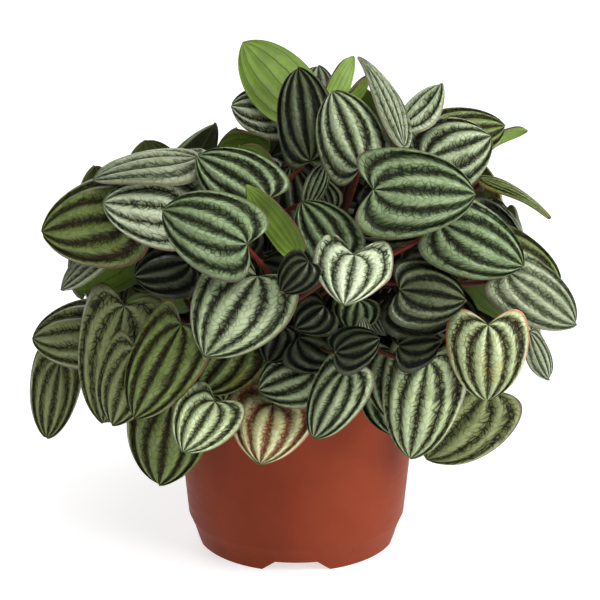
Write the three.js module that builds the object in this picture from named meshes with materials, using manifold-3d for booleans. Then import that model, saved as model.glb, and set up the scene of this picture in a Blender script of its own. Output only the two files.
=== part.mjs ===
// A potted peperomia: a 13 cm nursery pot, the soil in it, and ten short leafy stems that
// carry a dome of ribbed, heart-shaped leaves. Millimetres, +Z up, the pot's front towards -Y.
import * as THREE from 'three';
import { mergeVertices } from 'three/addons/utils/BufferGeometryUtils.js';
import Module from 'manifold-3d';

const wasm = await Module();
wasm.setup();

// ---- Driving dimensions ----------------------------------------------------------------

const GAP = 0.3;                        // clearance between pieces that touch

// Pot: a tapered plastic pot with a stepped foot ring and a rolled rim
const POT_HEIGHT = 110;
const WALL = 1.6;
const FOOT_RADIUS = 50;                 // outside radius where it stands
const FOOT_TOP_RADIUS = 51.4;           // top of the foot ring's straight part
const FOOT_RING_HEIGHT = 6.5;
const SHOULDER_RADIUS = 54.4;           // where the foot's bevel meets the wall
const SHOULDER_HEIGHT = 13.5;
const NECK_RADIUS = 62.8;               // wall just under the rim
const RIM_RADIUS = 65;
const RIM_BOTTOM = 99;                  // lower edge of the rim's lip
const FLOOR_Z = 6;                      // underside of the raised floor
const POT_SIDES = 36;
const NOTCH_BOTTOM_WIDTH = 34;          // four drainage notches in the foot ring
const NOTCH_TOP_WIDTH = 21;
const NOTCH_HEIGHT = 4.6;
const DRAIN_RADIUS = 4;
const DRAIN_RING_RADIUS = 30;
const DRAIN_COUNT = 6;
const DRAIN_SIDES = 10;

// Soil
const SOIL_TOP = 96;
const SOIL_CROWN = 3;                   // how much the middle stands above the edge
const SOIL_SIDES = 24;

// Leafy stems
const STEM_RADIUS = 5.5;
const STEM_BOTTOM = 72;
const STEM_TOP = 132;
const STEM_SIDES = 6;
const STEM_RINGS = [                    // rings of stems: how many, and how far from the middle
  { count: 3, radius: 14 },
  { count: 7, radius: 40 },
];
const STALK_RADIUS = 1.9;               // a petiole where it leaves the stem
const STALK_END_RADIUS = 1;             // and where it runs into the blade
const STALK_SIDES = 3;
const STALK_STEPS = 3;
const STALK_REACH = 2.5;                // how far past the foot it runs under the blade
const TOP_NODE_DROP = 3;                // of the topmost stalk's root below the stem's top
const NODE_SPAN = 24;                   // over which the roots of a stem are spread

// Blades
const BLADE_THICKNESS = 1;
const RIB_HEIGHT = 1.5;                 // swelling of the blade between its sunken veins
const EDGE_WAVE = 0.8;
const STRIPS = 8;                       // four swellings, each two strips wide
const LARGE_BLADE = 35;                 // from this width on, a blade has the finest faces
const LARGE_ROWS = [0, 0.13, 0.34, 0.6, 0.82, 1];
const SMALL_BLADE = 24;                 // under this width, it has half the strips
const ROWS = [0, 0.15, 0.42, 0.76, 1];
const BLADE_CLEARANCE = 4;              // between the sample points of two blades
const POT_CLEARANCE = 3;                // between a blade and the pot's rim
const PUSH_STEP = 1.5;                  // a blade that touches an inner one is moved out
const MOST_PUSHES = 40;
const SAMPLES = 12;                     // steps between the sample points, each way

// The ways that a stalk may take
const STALK_SAMPLES = 8;                // points tested on each of its straight lengths
const STALK_CLEARANCE = 6;              // room that it wants round its middle line
const STALK_BOWS = [0, -9, 9, -18, 18, -28, 28, -40, 40, -54, 54];   // sideways detours
const STALK_LIFTS = [0, 12, 24, 38, -10];                            // detours up or down
const RIM_BRIDGE = 8;                   // of a stalk above the rim
const NEAR_STEMS = 3;                   // tried for each leaf
const LOAD_COST = 0.7;                  // keeps the stems even
const MOVE_COST = 8;                    // for leaving the first stem
const DETOUR_COST = 0.15;               // for each mm of a detour
const TOUCH_COST = 30;                  // for a stalk that would touch
const TOUCH_GAP = 4.3;                  // between middle lines that count as touching
const CALM = 3;                         // crowding that is let be
const MORE_ROUNDS = 3;                  // for stalks that are crowded

// The view in which the leaves' places were read off: a square picture 600 px wide
const VIEW_ELEVATION = THREE.MathUtils.degToRad(21);
const VIEW_DISTANCE = 2000;             // from the camera to the aim point
const MM_PER_PIXEL = 0.497;             // at the aim point
const PICTURE_CENTRE = 300;
const AIM = new THREE.Vector3(1.9, 0, 125.3);
const UPWARD = new THREE.Vector3(0, 0, 1);
const VIEW_RIGHT = new THREE.Vector3(1, 0, 0);
const VIEW_UP = new THREE.Vector3(0, Math.sin(VIEW_ELEVATION), Math.cos(VIEW_ELEVATION));
const TO_VIEWER = new THREE.Vector3(0, -Math.cos(VIEW_ELEVATION), Math.sin(VIEW_ELEVATION));

// The dome that the foliage fills
const DOME_CENTRE = new THREE.Vector3(0, 0, 140);
const DOME_RADII = new THREE.Vector3(140, 110, 112);
const BACK_RADII = new THREE.Vector3(127, 136, 80);

// ---- Leaves ----------------------------------------------------------------------------

// One leaf that the front shows. foot is where the stalk meets the blade, tip its point, both
// as [x, y] in the picture; inset is how deep its middle lies under the dome, wide its real
// width. lean is how much nearer the viewer the tip is than the foot, and face how far the
// blade turns to the right and up. under shows the underside. arch bends it along its length,
// curl across it, in degrees; lobe is how far the heart's lobes reach back.
function leaf(foot, tip, inset, wide, options = {}) {
  return { foot, tip, inset, wide, arch: 36, curl: 34, lobe: 1, under: false, ...options };
}

const FRONT_LEAVES = [
  // crest
  leaf([305, 113], [243, 42], 27, 32, { under: true, face: [0.1, 0.1], lobe: 0.3, arch: -16, curl: -14 }),
  leaf([311, 161], [298, 68], 8, 31, { face: [-0.25, 0.1], lobe: 0.5, curl: 48 }),
  leaf([361, 167], [332, 91], 0, 33, { face: [-0.2, 0.2], curl: 40, lean: -6 }),
  leaf([290, 113], [231, 106], 49, 27, { face: [-0.2, 0.5], lobe: 0.6 }),
  leaf([318, 112], [318, 66], 57, 22, { face: [0.3, 0.3] }),
  leaf([330, 108], [354, 57], 42, 19, { under: true, face: [0.9, 0.1], lobe: 0.2, curl: 30 }),
  leaf([345, 98], [372, 76], 30, 16, { under: true, face: [0.2, -1.8], lobe: 0.2 }),
  leaf([402, 147], [358, 57], 19, 27, { face: [1.3, 0.9], lobe: 0.3, arch: 52, curl: 30 }),
  leaf([402, 151], [361, 88], 38, 22, { under: true, face: [-1.6, -1.2], lobe: 0.2 }),
  leaf([397, 130], [441, 84], 27, 26, { face: [-1.2, 0.7], lobe: 0.4, curl: 55 }),
  leaf([385, 132], [400, 103], 57, 18, { under: true, face: [0, 0.1], lobe: 0.4 }),
  leaf([426, 160], [491, 136], 15, 37, { face: [0.25, 0.45], lean: -10 }),
  leaf([430, 138], [505, 126], 38, 30, { face: [0.3, 0.6], lobe: 0.6 }),
  leaf([478, 146], [527, 131], 46, 18, { under: true, face: [0.2, -1.0], lobe: 0.3 }),
  // right shoulder
  leaf([374, 190], [476, 194], 0, 42, { face: [0.05, 0.15], arch: 40, curl: 40 }),
  leaf([441, 223], [523, 266], 4, 36, { face: [0.15, 0.25], arch: 40 }),
  leaf([478, 179], [551, 218], 19, 20, { face: [0.2, 1.5], lobe: 0.3, curl: 50 }),
  leaf([507, 272], [576, 324], 8, 31, { face: [0.35, 0.25] }),
  leaf([497, 248], [560, 290], 27, 34, { face: [0.4, 0.4] }),
  leaf([498, 272], [526, 330], 19, 20, { face: [1.5, 0.4], lobe: 0.3 }),
  leaf([468, 272], [518, 326], 30, 22, { under: true, face: [-0.9, -0.5], lobe: 0.4 }),
  leaf([488, 325], [487, 401], 4, 36, { face: [0, 0.1], lobe: 1.3, curl: 30 }),
  leaf([524, 316], [537, 353], 30, 22, { face: [1.2, 0.2], lobe: 0.4 }),
  leaf([529, 332], [549, 379], 27, 16, { face: [1.0, 0.1], lobe: 0.3 }),
  leaf([360, 237], [438, 231], 27, 24, { face: [0, 1.9], lobe: 0.4 }),
  leaf([408, 290], [470, 298], 46, 27, { face: [0, 0.2] }),
  leaf([405, 268], [462, 281], 68, 26, { face: [0, 0.3] }),
  leaf([400, 313], [455, 324], 57, 22, { face: [0, 0.5] }),
  // middle
  leaf([354, 257], [344, 305], 0, 37, { face: [0, 0.1], lobe: 1.4, lean: 24, arch: 50, curl: 36 }),
  leaf([340, 257], [302, 202], 11, 29, { face: [-0.15, 0.1] }),
  leaf([299, 256], [246, 186], 11, 20, { under: true, face: [-1.0, 0.5], lobe: 0.2, curl: 24 }),
  leaf([300, 238], [291, 166], 65, 27, { face: [0, 0.1], lobe: 0.6 }),
  leaf([308, 206], [326, 163], 34, 15, { face: [1.6, 0.4], lobe: 0.2 }),
  leaf([334, 212], [320, 176], 46, 15, { face: [-1.6, 0.4], lobe: 0.2 }),
  leaf([358, 300], [352, 331], 23, 22, { face: [0, 0.1], lobe: 0.8 }),
  leaf([362, 318], [366, 344], 19, 7, { face: [0.2, 0], lobe: 0.1 }),
  leaf([370, 309], [385, 336], 27, 8, { face: [0.2, 0], lobe: 0.1 }),
  leaf([437, 350], [461, 325], 49, 20, { face: [0.2, 0.5] }),
  leaf([300, 272], [258, 258], 57, 24, { face: [0, 0.6] }),
  // left shoulder
  leaf([268, 199], [197, 156], 15, 32, { face: [-0.1, 0.3] }),
  leaf([276, 186], [240, 146], 34, 22, { under: true, face: [-0.5, -0.6], lobe: 0.5 }),
  leaf([268, 152], [217, 148], 49, 26, { under: true, face: [-0.2, -0.8], lobe: 0.4 }),
  leaf([247, 244], [162, 210], 0, 38, { face: [-0.1, 0.2], arch: 40 }),
  leaf([190, 212], [103, 203], 11, 35, { face: [-0.15, 0.25], arch: 42 }),
  leaf([132, 214], [42, 232], 30, 43, { face: [-0.2, 0.2] }),
  leaf([198, 160], [93, 179], 30, 34, { face: [-0.3, 2.0], lobe: 0.6, arch: 46 }),
  leaf([128, 233], [60, 290], 42, 22, { face: [-0.6, 1.2], lobe: 0.3 }),
  leaf([138, 250], [74, 289], 49, 26, { under: true, face: [0.2, -0.4], lobe: 0.5 }),
  leaf([186, 262], [128, 284], 72, 30, { face: [-0.2, 0.4] }),
  leaf([190, 300], [128, 301], 53, 20, { under: true, face: [0, -1.6], lobe: 0.3 }),
  // lower left
  leaf([257, 277], [205, 356], 0, 44, { face: [-0.05, 0.1], arch: 44, curl: 34, lean: 12 }),
  leaf([125, 306], [103, 423], 23, 41, { face: [-0.25, 0.1], arch: 30 }),
  leaf([60, 361], [47, 438], 8, 32, { face: [0.15, 0.2], arch: 24, curl: 46, lobe: 1.1 }),
  leaf([104, 328], [33, 338], 38, 35, { face: [-0.2, 0.4] }),
  leaf([136, 350], [112, 425], 17, 30, { face: [-0.3, 0.1] }),
  leaf([182, 325], [134, 418], 8, 35, { face: [-0.35, 0.1], arch: 34 }),
  leaf([172, 402], [159, 485], 27, 40, { face: [-0.1, 0] }),
  leaf([214, 403], [183, 452], 11, 33, { face: [-0.05, 0.1], lobe: 1.2, lean: 18, arch: 44 }),
  leaf([273, 406], [260, 464], 17, 38, { face: [0, 0.1], lobe: 1.2, lean: 20, arch: 44, curl: 26 }),
  leaf([218, 356], [224, 402], 38, 26, { face: [0, 0.3] }),
  leaf([268, 342], [253, 393], 42, 14, { under: true, face: [-1.4, 0.2], lobe: 0.2 }),
  // lower right
  leaf([314, 369], [258, 390], 23, 30, { face: [-0.1, 0.3], arch: 44 }),
  leaf([347, 369], [314, 438], 11, 28, { face: [-0.35, 0.1], curl: 46 }),
  leaf([428, 360], [410, 458], 0, 39, { face: [-0.1, 0.1], arch: 44, curl: 40 }),
  leaf([394, 351], [397, 422], 23, 30, { face: [-0.1, 0.1] }),
  leaf([386, 376], [397, 436], 38, 30, { face: [-0.1, 0] }),
  leaf([487, 390], [427, 459], 34, 45, { face: [0.1, 0] }),
];

// Leaves on the sides and back, which the front doesn't show, in rings from the skirt to the
// crest: how many, how high their middles are on the dome, and from where to where they run,
// in degrees round from the right (+X) over the back (+Y) to the left.
const BACK_RINGS = [
  { count: 6, height: -20, from: 6, to: 174 },
  { count: 6, height: 12, from: 26, to: 166 },
  { count: 4, height: 40, from: 16, to: 150 },
  { count: 2, height: 62, from: 34, to: 112 },
];
const BACK_LEAF_LENGTH = [40, 50];
const BACK_LEAF_SLENDERNESS = 0.8;      // width over length
const BACK_INSET = 22;
const BACK_SWING = 30;                  // degrees that a hanging tip may swing sideways

// A number from 0 to 1 that looks drawn at random and is the same every time.
function drawn(index, kind) {
  const value = Math.sin(index * 12.9898 + kind * 78.233) * 43758.5453;
  return value - Math.floor(value);
}

const rad = THREE.MathUtils.degToRad;
const mix = THREE.MathUtils.lerp;

// ---- Placing the leaves ----------------------------------------------------------------

// The point that the picture shows at [x, y], depth mm nearer the viewer than the aim point.
function seen([x, y], depth) {
  const shrink = 1 - depth / VIEW_DISTANCE;
  const right = (x - PICTURE_CENTRE) * MM_PER_PIXEL * shrink;
  const up = (PICTURE_CENTRE - y) * MM_PER_PIXEL * shrink;
  return AIM.clone().addScaledVector(VIEW_RIGHT, right).addScaledVector(VIEW_UP, up)
    .addScaledVector(TO_VIEWER, depth);
}

// The depth at which the line of sight through [x, y] comes out of the dome, or passes it.
function domeDepth(pixel) {
  const start = seen(pixel, 0).sub(DOME_CENTRE).divide(DOME_RADII);
  const step = seen(pixel, 1).sub(DOME_CENTRE).divide(DOME_RADII).sub(start);
  const a = step.dot(step);
  const b = start.dot(step);
  const c = start.dot(start) - 1;
  return (-b + Math.sqrt(Math.max(0, b * b - a * c))) / a;
}

function middle([ax, ay], [bx, by]) {
  return [(ax + bx) / 2, (ay + by) / 2];
}

// Gives a leaf its frame: origin at the foot, along to the tip, normal out of its upper face.
function orient(row, foot, tip, facing) {
  row.origin = foot;
  row.length = foot.distanceTo(tip);
  row.along = tip.clone().sub(foot).normalize();
  row.normal = facing.clone().addScaledVector(row.along, -facing.dot(row.along)).normalize();
  row.across = row.normal.clone().cross(row.along);
  row.samples = sampleBlade(row);
}

// Places a front leaf, push mm nearer the viewer than the table says.
function placeFront(row, push) {
  const depth = domeDepth(middle(row.foot, row.tip)) - row.inset + push;
  const lean = row.lean ?? THREE.MathUtils.clamp(
    0.35 * (domeDepth(row.tip) - domeDepth(row.foot)), -14, 14);
  const [right, up] = row.face;
  const facing = TO_VIEWER.clone().addScaledVector(VIEW_RIGHT, right).addScaledVector(VIEW_UP, up);
  if (row.under) facing.negate();
  orient(row, seen(row.foot, depth - lean / 2), seen(row.tip, depth + lean / 2), facing);
}

// Places a leaf of the sides or back, push mm further out.
function placeBack(row, push) {
  const outward = new THREE.Vector3(
    Math.cos(row.height) * Math.cos(row.round), Math.cos(row.height) * Math.sin(row.round),
    Math.sin(row.height));
  const centre = outward.clone().multiply(BACK_RADII).add(DOME_CENTRE)
    .addScaledVector(outward, push - BACK_INSET);
  const sideways = new THREE.Vector3(-Math.sin(row.round), Math.cos(row.round), 0);
  const down = sideways.clone().cross(outward).negate();
  const hang = down.multiplyScalar(Math.cos(row.swing)).addScaledVector(sideways, Math.sin(row.swing));
  hang.addScaledVector(outward, 0.15).normalize();
  const foot = centre.clone().addScaledVector(hang, -row.size / 2);
  const facing = outward.clone().add(new THREE.Vector3(0, 0, 0.45));
  orient(row, foot, foot.clone().addScaledVector(hang, row.size), facing);
}

function backLeaves() {
  const rows = [];
  for (const ring of BACK_RINGS) {
    for (let i = 0; i < ring.count; i += 1) {
      const index = rows.length + 1;
      const share = (i + 0.5 + 0.3 * (drawn(index, 1) - 0.5)) / ring.count;
      const size = mix(...BACK_LEAF_LENGTH, drawn(index, 2));
      rows.push({
        round: rad(mix(ring.from, ring.to, share)),
        height: rad(ring.height + 10 * (drawn(index, 3) - 0.5)),
        swing: rad(BACK_SWING * (2 * drawn(index, 4) - 1)),
        size, wide: size * BACK_LEAF_SLENDERNESS, inset: BACK_INSET,
        arch: mix(30, 48, drawn(index, 5)), curl: mix(28, 44, drawn(index, 6)), lobe: 1,
      });
    }
  }
  return rows;
}

// ---- The blade's surface ---------------------------------------------------------------

// A blade is made of lines that all run from its foot to its tip. u counts them from the left
// margin (-1) over the midrib (0) to the right margin (1), and v runs along each.
function bladePoint(row, u, v) {
  const s = Math.abs(u);
  const early = 3 * (1 - v) ** 2 * v;
  const late = 3 * (1 - v) * v ** 2;
  const back = mix(row.length / 3, -0.6 * row.lobe * row.length, s ** 1.6);
  const front = mix(row.length * 2 / 3, row.length * 0.9, s);
  const x = early * back + late * front + v ** 3 * row.length;
  const y = Math.sign(u) * s * row.wide * (0.8 * early + 0.58 * late);

  const curl = rad(row.curl);
  const half = row.wide / 2;
  const across = half / curl * Math.sin(curl * y / half);
  const drop = half / curl * (1 - Math.cos(curl * y / half));
  const rib = RIB_HEIGHT * (1 - Math.cos(4 * Math.PI * s)) / 2 * Math.sin(Math.PI * v) ** 0.7;
  const wave = EDGE_WAVE * s * s * Math.sin(9 * v + row.phase + Math.sign(u));
  const arch = rad(row.arch);
  const bend = row.length / (2 * Math.sin(arch / 2));
  const turn = (x / row.length - 0.5) * arch;
  const radius = bend + rib + wave - drop;
  const lift = radius * Math.cos(turn) - bend * Math.cos(arch / 2);
  return row.origin.clone().addScaledVector(row.along, row.length / 2 + radius * Math.sin(turn))
    .addScaledVector(row.across, across).addScaledVector(row.normal, lift);
}

// Points all over the blade, from which its distance to other pieces is taken.
function sampleBlade(row) {
  const points = [];
  for (let i = 0; i <= SAMPLES; i += 1) {
    for (let j = 0; j <= SAMPLES; j += 1) {
      points.push(bladePoint(row, 2 * i / SAMPLES - 1, j / SAMPLES));
    }
  }
  points.centre = bladePoint(row, 0, 0.5);
  points.reach = Math.max(...points.map((point) => point.distanceTo(points.centre)));
  return points;
}

function pointsMeet(some, others, clearance) {
  if (some.centre.distanceTo(others.centre) > some.reach + others.reach + clearance) return false;
  return some.some((point) => others.some((other) => point.distanceTo(other) < clearance));
}

function nearPot(point) {
  const r = Math.hypot(point.x, point.y);
  return r < RIM_RADIUS + POT_CLEARANCE && point.z < POT_HEIGHT + POT_CLEARANCE;
}

// The innermost leaf keeps its place, and each further one moves out until it clears the rest.
function settle() {
  const settled = [];
  for (const row of [...leaves].sort((one, other) => other.inset - one.inset)) {
    const place = row.foot ? placeFront : placeBack;
    for (let pushes = 0; pushes <= MOST_PUSHES; pushes += 1) {
      place(row, pushes * PUSH_STEP);
      if (row.samples.some(nearPot)) continue;
      if (!settled.some((other) => pointsMeet(row.samples, other.samples, BLADE_CLEARANCE))) break;
    }
    settled.push(row);
  }
}

// ---- Stalks ----------------------------------------------------------------------------

function stemPlaces() {
  const places = [];
  for (const { count, radius } of STEM_RINGS) {
    for (let i = 0; i < count; i += 1) {
      const round = 2 * Math.PI * (i / count - 0.25);
      places.push(new THREE.Vector3(radius * Math.cos(round), radius * Math.sin(round), STEM_TOP));
    }
  }
  return places;
}

// A stalk's middle line: out of its stem, over what is in its way, and up under the blade.
function stalkCurve(row, stem, bow, lift) {
  const outward = row.origin.clone().sub(stem).setZ(0).normalize();
  const root = stem.clone().addScaledVector(outward, 0.4 * STEM_RADIUS)
    .addScaledVector(UPWARD, -row.rootDrop);
  const span = row.origin.clone().sub(root);
  const reach = span.length();
  const aside = span.clone().cross(UPWARD).normalize();
  const arrival = row.normal.clone().multiplyScalar(0.8).addScaledVector(span, 0.7 / reach).normalize();
  const rise = root.clone().addScaledVector(UPWARD, 0.36 * reach + lift)
    .addScaledVector(outward, 0.12 * reach).addScaledVector(aside, bow);
  const near = row.origin.clone().addScaledVector(arrival, -0.32 * reach).addScaledVector(aside, 0.5 * bow);
  const overRim = clearHeight(Math.hypot(near.x, near.y)) + RIM_BRIDGE - near.z;
  near.z += Math.max(0, overRim);
  const end = bladePoint(row, 0, STALK_REACH / row.length)
    .addScaledVector(row.normal, -BLADE_THICKNESS / 2);
  return new THREE.CubicBezierCurve3(root, rise, near, end);
}

// Points along the straight lengths that a stalk is built from.
function alongStalk(curve) {
  const joints = curve.getSpacedPoints(STALK_STEPS);
  const points = [joints[0]];
  for (let j = 0; j < STALK_STEPS; j += 1) {
    for (let k = 1; k <= STALK_SAMPLES; k += 1) {
      points.push(joints[j].clone().lerp(joints[j + 1], k / STALK_SAMPLES));
    }
  }
  return points;
}

function nearestGap(point, others) {
  return Math.min(...others.map((other) => point.distanceTo(other)));
}

// The height above which a stalk clears the soil or the rim, at radius r from the middle.
function clearHeight(r) {
  if (r < RIM_RADIUS - 10) return SOIL_TOP + SOIL_CROWN + 2.5;
  return r < RIM_RADIUS + 4 ? POT_HEIGHT + 3.5 : 0;
}

// How much a stalk is in the way of the pot, other stems, blades and other stalks.
function crowding(points, row) {
  const inner = points.slice(1, -1);
  let cost = 0;
  for (const point of inner) {
    const low = clearHeight(Math.hypot(point.x, point.y)) - point.z;
    cost += 4 * Math.max(0, low) ** 2;
    stems.forEach((place, i) => {
      const gap = Math.hypot(point.x - place.x, point.y - place.y) - STEM_RADIUS;
      if (i !== row.stem && point.z < STEM_TOP + STALK_RADIUS) cost += 4 * squeeze(gap);
    });
  }
  for (const other of leaves) {
    if (other === row) continue;
    for (const point of inner) {
      if (point.distanceTo(other.samples.centre) < other.samples.reach + STALK_CLEARANCE) {
        cost += 2 * squeeze(nearestGap(point, other.samples));
      }
    }
    if (!other.stalk) continue;
    const own = other.stem === row.stem;
    for (const point of own ? inner.slice(5) : inner) {
      cost += (own ? 0.5 : 4) * squeeze(nearestGap(point, other.stalkPoints));
    }
  }
  return cost;
}

// What a gap between middle lines costs.
function squeeze(gap) {
  const touch = gap < TOUCH_GAP ? TOUCH_COST : 0;
  return touch + Math.max(0, STALK_CLEARANCE - gap) ** 2;
}

// Level distance from a stem to the spot under a leaf, drawn in towards the pot.
function stemGap(row, stem) {
  return Math.hypot(row.origin.x * 0.6 - stem.x, row.origin.y * 0.6 - stem.y);
}

function steepness(row, stem) {
  return (row.origin.z - stem.z) / Math.hypot(row.origin.x - stem.x, row.origin.y - stem.y);
}

// Shares the leaves out among the stems, the steepest leaf of each at its top.
function assignStems() {
  const load = stems.map(() => 0);
  const spread = [...leaves].sort((one, other) => other.origin.length() - one.origin.length());
  for (const row of spread) {
    const costs = stems.map((stem, i) => stemGap(row, stem) + LOAD_COST * load[i] ** 2);
    row.stem = costs.indexOf(Math.min(...costs));
    load[row.stem] += 1;
  }
  stems.forEach((stem, i) => {
    leaves.filter((row) => row.stem === i)
      .sort((one, other) => steepness(other, stem) - steepness(one, stem))
      .forEach((row, node) => { row.rootDrop = TOP_NODE_DROP + NODE_SPAN * node / load[i]; });
  });
}

// Picks for a leaf, from the stems near it, the way that is least in that of other pieces.
function routeStalk(row) {
  const near = stems.map((stem, i) => ({ i, gap: stemGap(row, stem) }))
    .sort((one, other) => one.gap - other.gap).slice(0, NEAR_STEMS);
  if (!near.some(({ i }) => i === row.stem)) near.push({ i: row.stem, gap: near[0].gap });
  Object.assign(row, { stalk: null, crowded: Infinity });
  let best = null;
  const home = row.stem;
  for (const { i, gap } of near) {
    const far = i === home ? 0 : MOVE_COST + gap - near[0].gap;
    for (const bow of STALK_BOWS) {
      for (const lift of STALK_LIFTS) {
        const stalk = stalkCurve(row, stems[i], bow, lift);
        const stalkPoints = alongStalk(stalk);
        row.stem = i;
        const crowded = crowding(stalkPoints, row);
        const cost = crowded + far + DETOUR_COST * (Math.abs(bow) + Math.abs(lift));
        if (!best || cost < best.cost) best = { stem: i, stalk, stalkPoints, crowded, cost };
      }
    }
  }
  Object.assign(row, best);
}

// Every leaf gets its stalk from the inside outwards, then the crowded ones try again.
function routeStalks() {
  const order = [...leaves].sort((one, other) => other.inset - one.inset);
  order.forEach(routeStalk);
  for (let round = 0; round < MORE_ROUNDS; round += 1) {
    order.filter((row) => row.crowded > CALM).forEach(routeStalk);
  }
}

// ---- Solids ----------------------------------------------------------------------------

function toSolid(geometry) {
  const bare = new THREE.BufferGeometry();
  bare.setAttribute('position', geometry.getAttribute('position'));
  if (geometry.index) bare.setIndex(geometry.index);
  const merged = mergeVertices(bare, 1e-4);
  const vertProperties = new Float32Array(merged.getAttribute('position').array);
  const triVerts = new Uint32Array(merged.index.array);
  return new wasm.Manifold(new wasm.Mesh({ numProp: 3, vertProperties, triVerts }));
}

function toGeometry(solid) {
  const { vertProperties, triVerts, numProp } = solid.getMesh();
  const positions = new Float32Array(vertProperties.length / numProp * 3);
  for (let i = 0; i < positions.length / 3; i += 1) {
    positions.set(vertProperties.subarray(i * numProp, i * numProp + 3), 3 * i);
  }
  const geometry = new THREE.BufferGeometry();
  geometry.setAttribute('position', new THREE.BufferAttribute(positions, 3));
  geometry.setIndex([...triVerts]);
  geometry.computeVertexNormals();
  return geometry;
}

// A closed geometry from points and faces, turned so that its faces point out.
function closedGeometry(points, faces) {
  let volume = 0;
  for (const [a, b, c] of faces) {
    volume += points[a].dot(points[b].clone().cross(points[c]));
  }
  const outward = volume > 0 ? faces : faces.map(([a, b, c]) => [a, c, b]);
  const geometry = new THREE.BufferGeometry().setFromPoints(points);
  geometry.setIndex(outward.flat());
  return geometry;
}

function bladeGeometry(row) {
  const step = 0.02;
  const strips = row.wide < SMALL_BLADE ? STRIPS / 2 : STRIPS;
  const stations = row.wide < LARGE_BLADE ? ROWS : LARGE_ROWS;
  const points = [];
  const grid = [];
  for (const v of stations) {
    const line = [];
    for (let i = 0; i <= strips; i += 1) {
      const pole = v === 0 || v === 1;
      if (pole && i > 0) {
        line.push(line[0]);
        continue;
      }
      const u = pole ? 0 : 2 * i / strips - 1;
      const point = bladePoint(row, u, v);
      const alongV = bladePoint(row, u, Math.min(1, v + step)).sub(bladePoint(row, u, Math.max(0, v - step)));
      const alongU = bladePoint(row, Math.min(1, u + step), v).sub(bladePoint(row, Math.max(-1, u - step), v));
      const normal = pole ? row.normal.clone() : alongV.cross(alongU).normalize();
      if (normal.dot(row.normal) < 0) normal.negate();
      line.push(points.length);
      points.push(point, point.clone().addScaledVector(normal, -BLADE_THICKNESS));
    }
    grid.push(line);
  }
  const faces = [];
  const triangle = (a, b, c) => {
    if (a !== b && b !== c && a !== c) faces.push([a, b, c]);
  };
  for (let j = 0; j < stations.length - 1; j += 1) {
    for (let i = 0; i < strips; i += 1) {
      const [a, b, c, d] = [grid[j][i], grid[j][i + 1], grid[j + 1][i + 1], grid[j + 1][i]];
      triangle(a, b, c);
      triangle(a, c, d);
      triangle(a + 1, c + 1, b + 1);
      triangle(a + 1, d + 1, c + 1);
    }
    for (const [a, b] of [[grid[j + 1][0], grid[j][0]], [grid[j][strips], grid[j + 1][strips]]]) {
      triangle(a, a + 1, b + 1);
      triangle(a, b + 1, b);
    }
  }
  return closedGeometry(points, faces);
}

function stalkGeometry(row) {
  const points = [];
  const faces = [];
  let side = new THREE.Vector3(0.3, 0.2, 1).normalize();
  for (let j = 0; j <= STALK_STEPS; j += 1) {
    const share = j / STALK_STEPS;
    const centre = row.stalk.getPointAt(share);
    const tangent = row.stalk.getTangentAt(share);
    side = side.clone().addScaledVector(tangent, -side.dot(tangent)).normalize();
    const other = tangent.clone().cross(side);
    const radius = mix(STALK_RADIUS, STALK_END_RADIUS, share);
    for (let i = 0; i < STALK_SIDES; i += 1) {
      const round = 2 * Math.PI * i / STALK_SIDES;
      points.push(centre.clone().addScaledVector(side, radius * Math.cos(round))
        .addScaledVector(other, radius * Math.sin(round)));
    }
  }
  for (let j = 0; j < STALK_STEPS; j += 1) {
    for (let i = 0; i < STALK_SIDES; i += 1) {
      const a = j * STALK_SIDES + i;
      const b = j * STALK_SIDES + (i + 1) % STALK_SIDES;
      faces.push([a, b, b + STALK_SIDES], [a, b + STALK_SIDES, a + STALK_SIDES]);
    }
  }
  const last = STALK_STEPS * STALK_SIDES;
  for (let i = 1; i < STALK_SIDES - 1; i += 1) {
    faces.push([0, i + 1, i], [last, last + i, last + i + 1]);
  }
  return closedGeometry(points, faces);
}

function upright(geometry) {
  return geometry.rotateX(Math.PI / 2);
}

function stemSolid(place) {
  const profile = [
    [0, STEM_BOTTOM], [STEM_RADIUS, STEM_BOTTOM], [STEM_RADIUS, STEM_TOP - 6],
    [STEM_RADIUS * 0.6, STEM_TOP - 1], [0, STEM_TOP],
  ];
  const geometry = upright(new THREE.LatheGeometry(
    profile.map(([x, y]) => new THREE.Vector2(x, y)), STEM_SIDES));
  return toSolid(geometry.translate(place.x, place.y, 0));
}

function leafyStemSolid(place, rows) {
  let solid = stemSolid(place);
  for (const row of rows) {
    solid = solid.add(toSolid(stalkGeometry(row))).add(toSolid(bladeGeometry(row)));
  }
  const bodies = solid.decompose().sort((one, other) => other.volume() - one.volume());
  return bodies[0];
}

// ---- Pot and soil ----------------------------------------------------------------------

function wallRadius(z) {
  return mix(SHOULDER_RADIUS, NECK_RADIUS, (z - SHOULDER_HEIGHT) / (RIM_BOTTOM - SHOULDER_HEIGHT));
}

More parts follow.
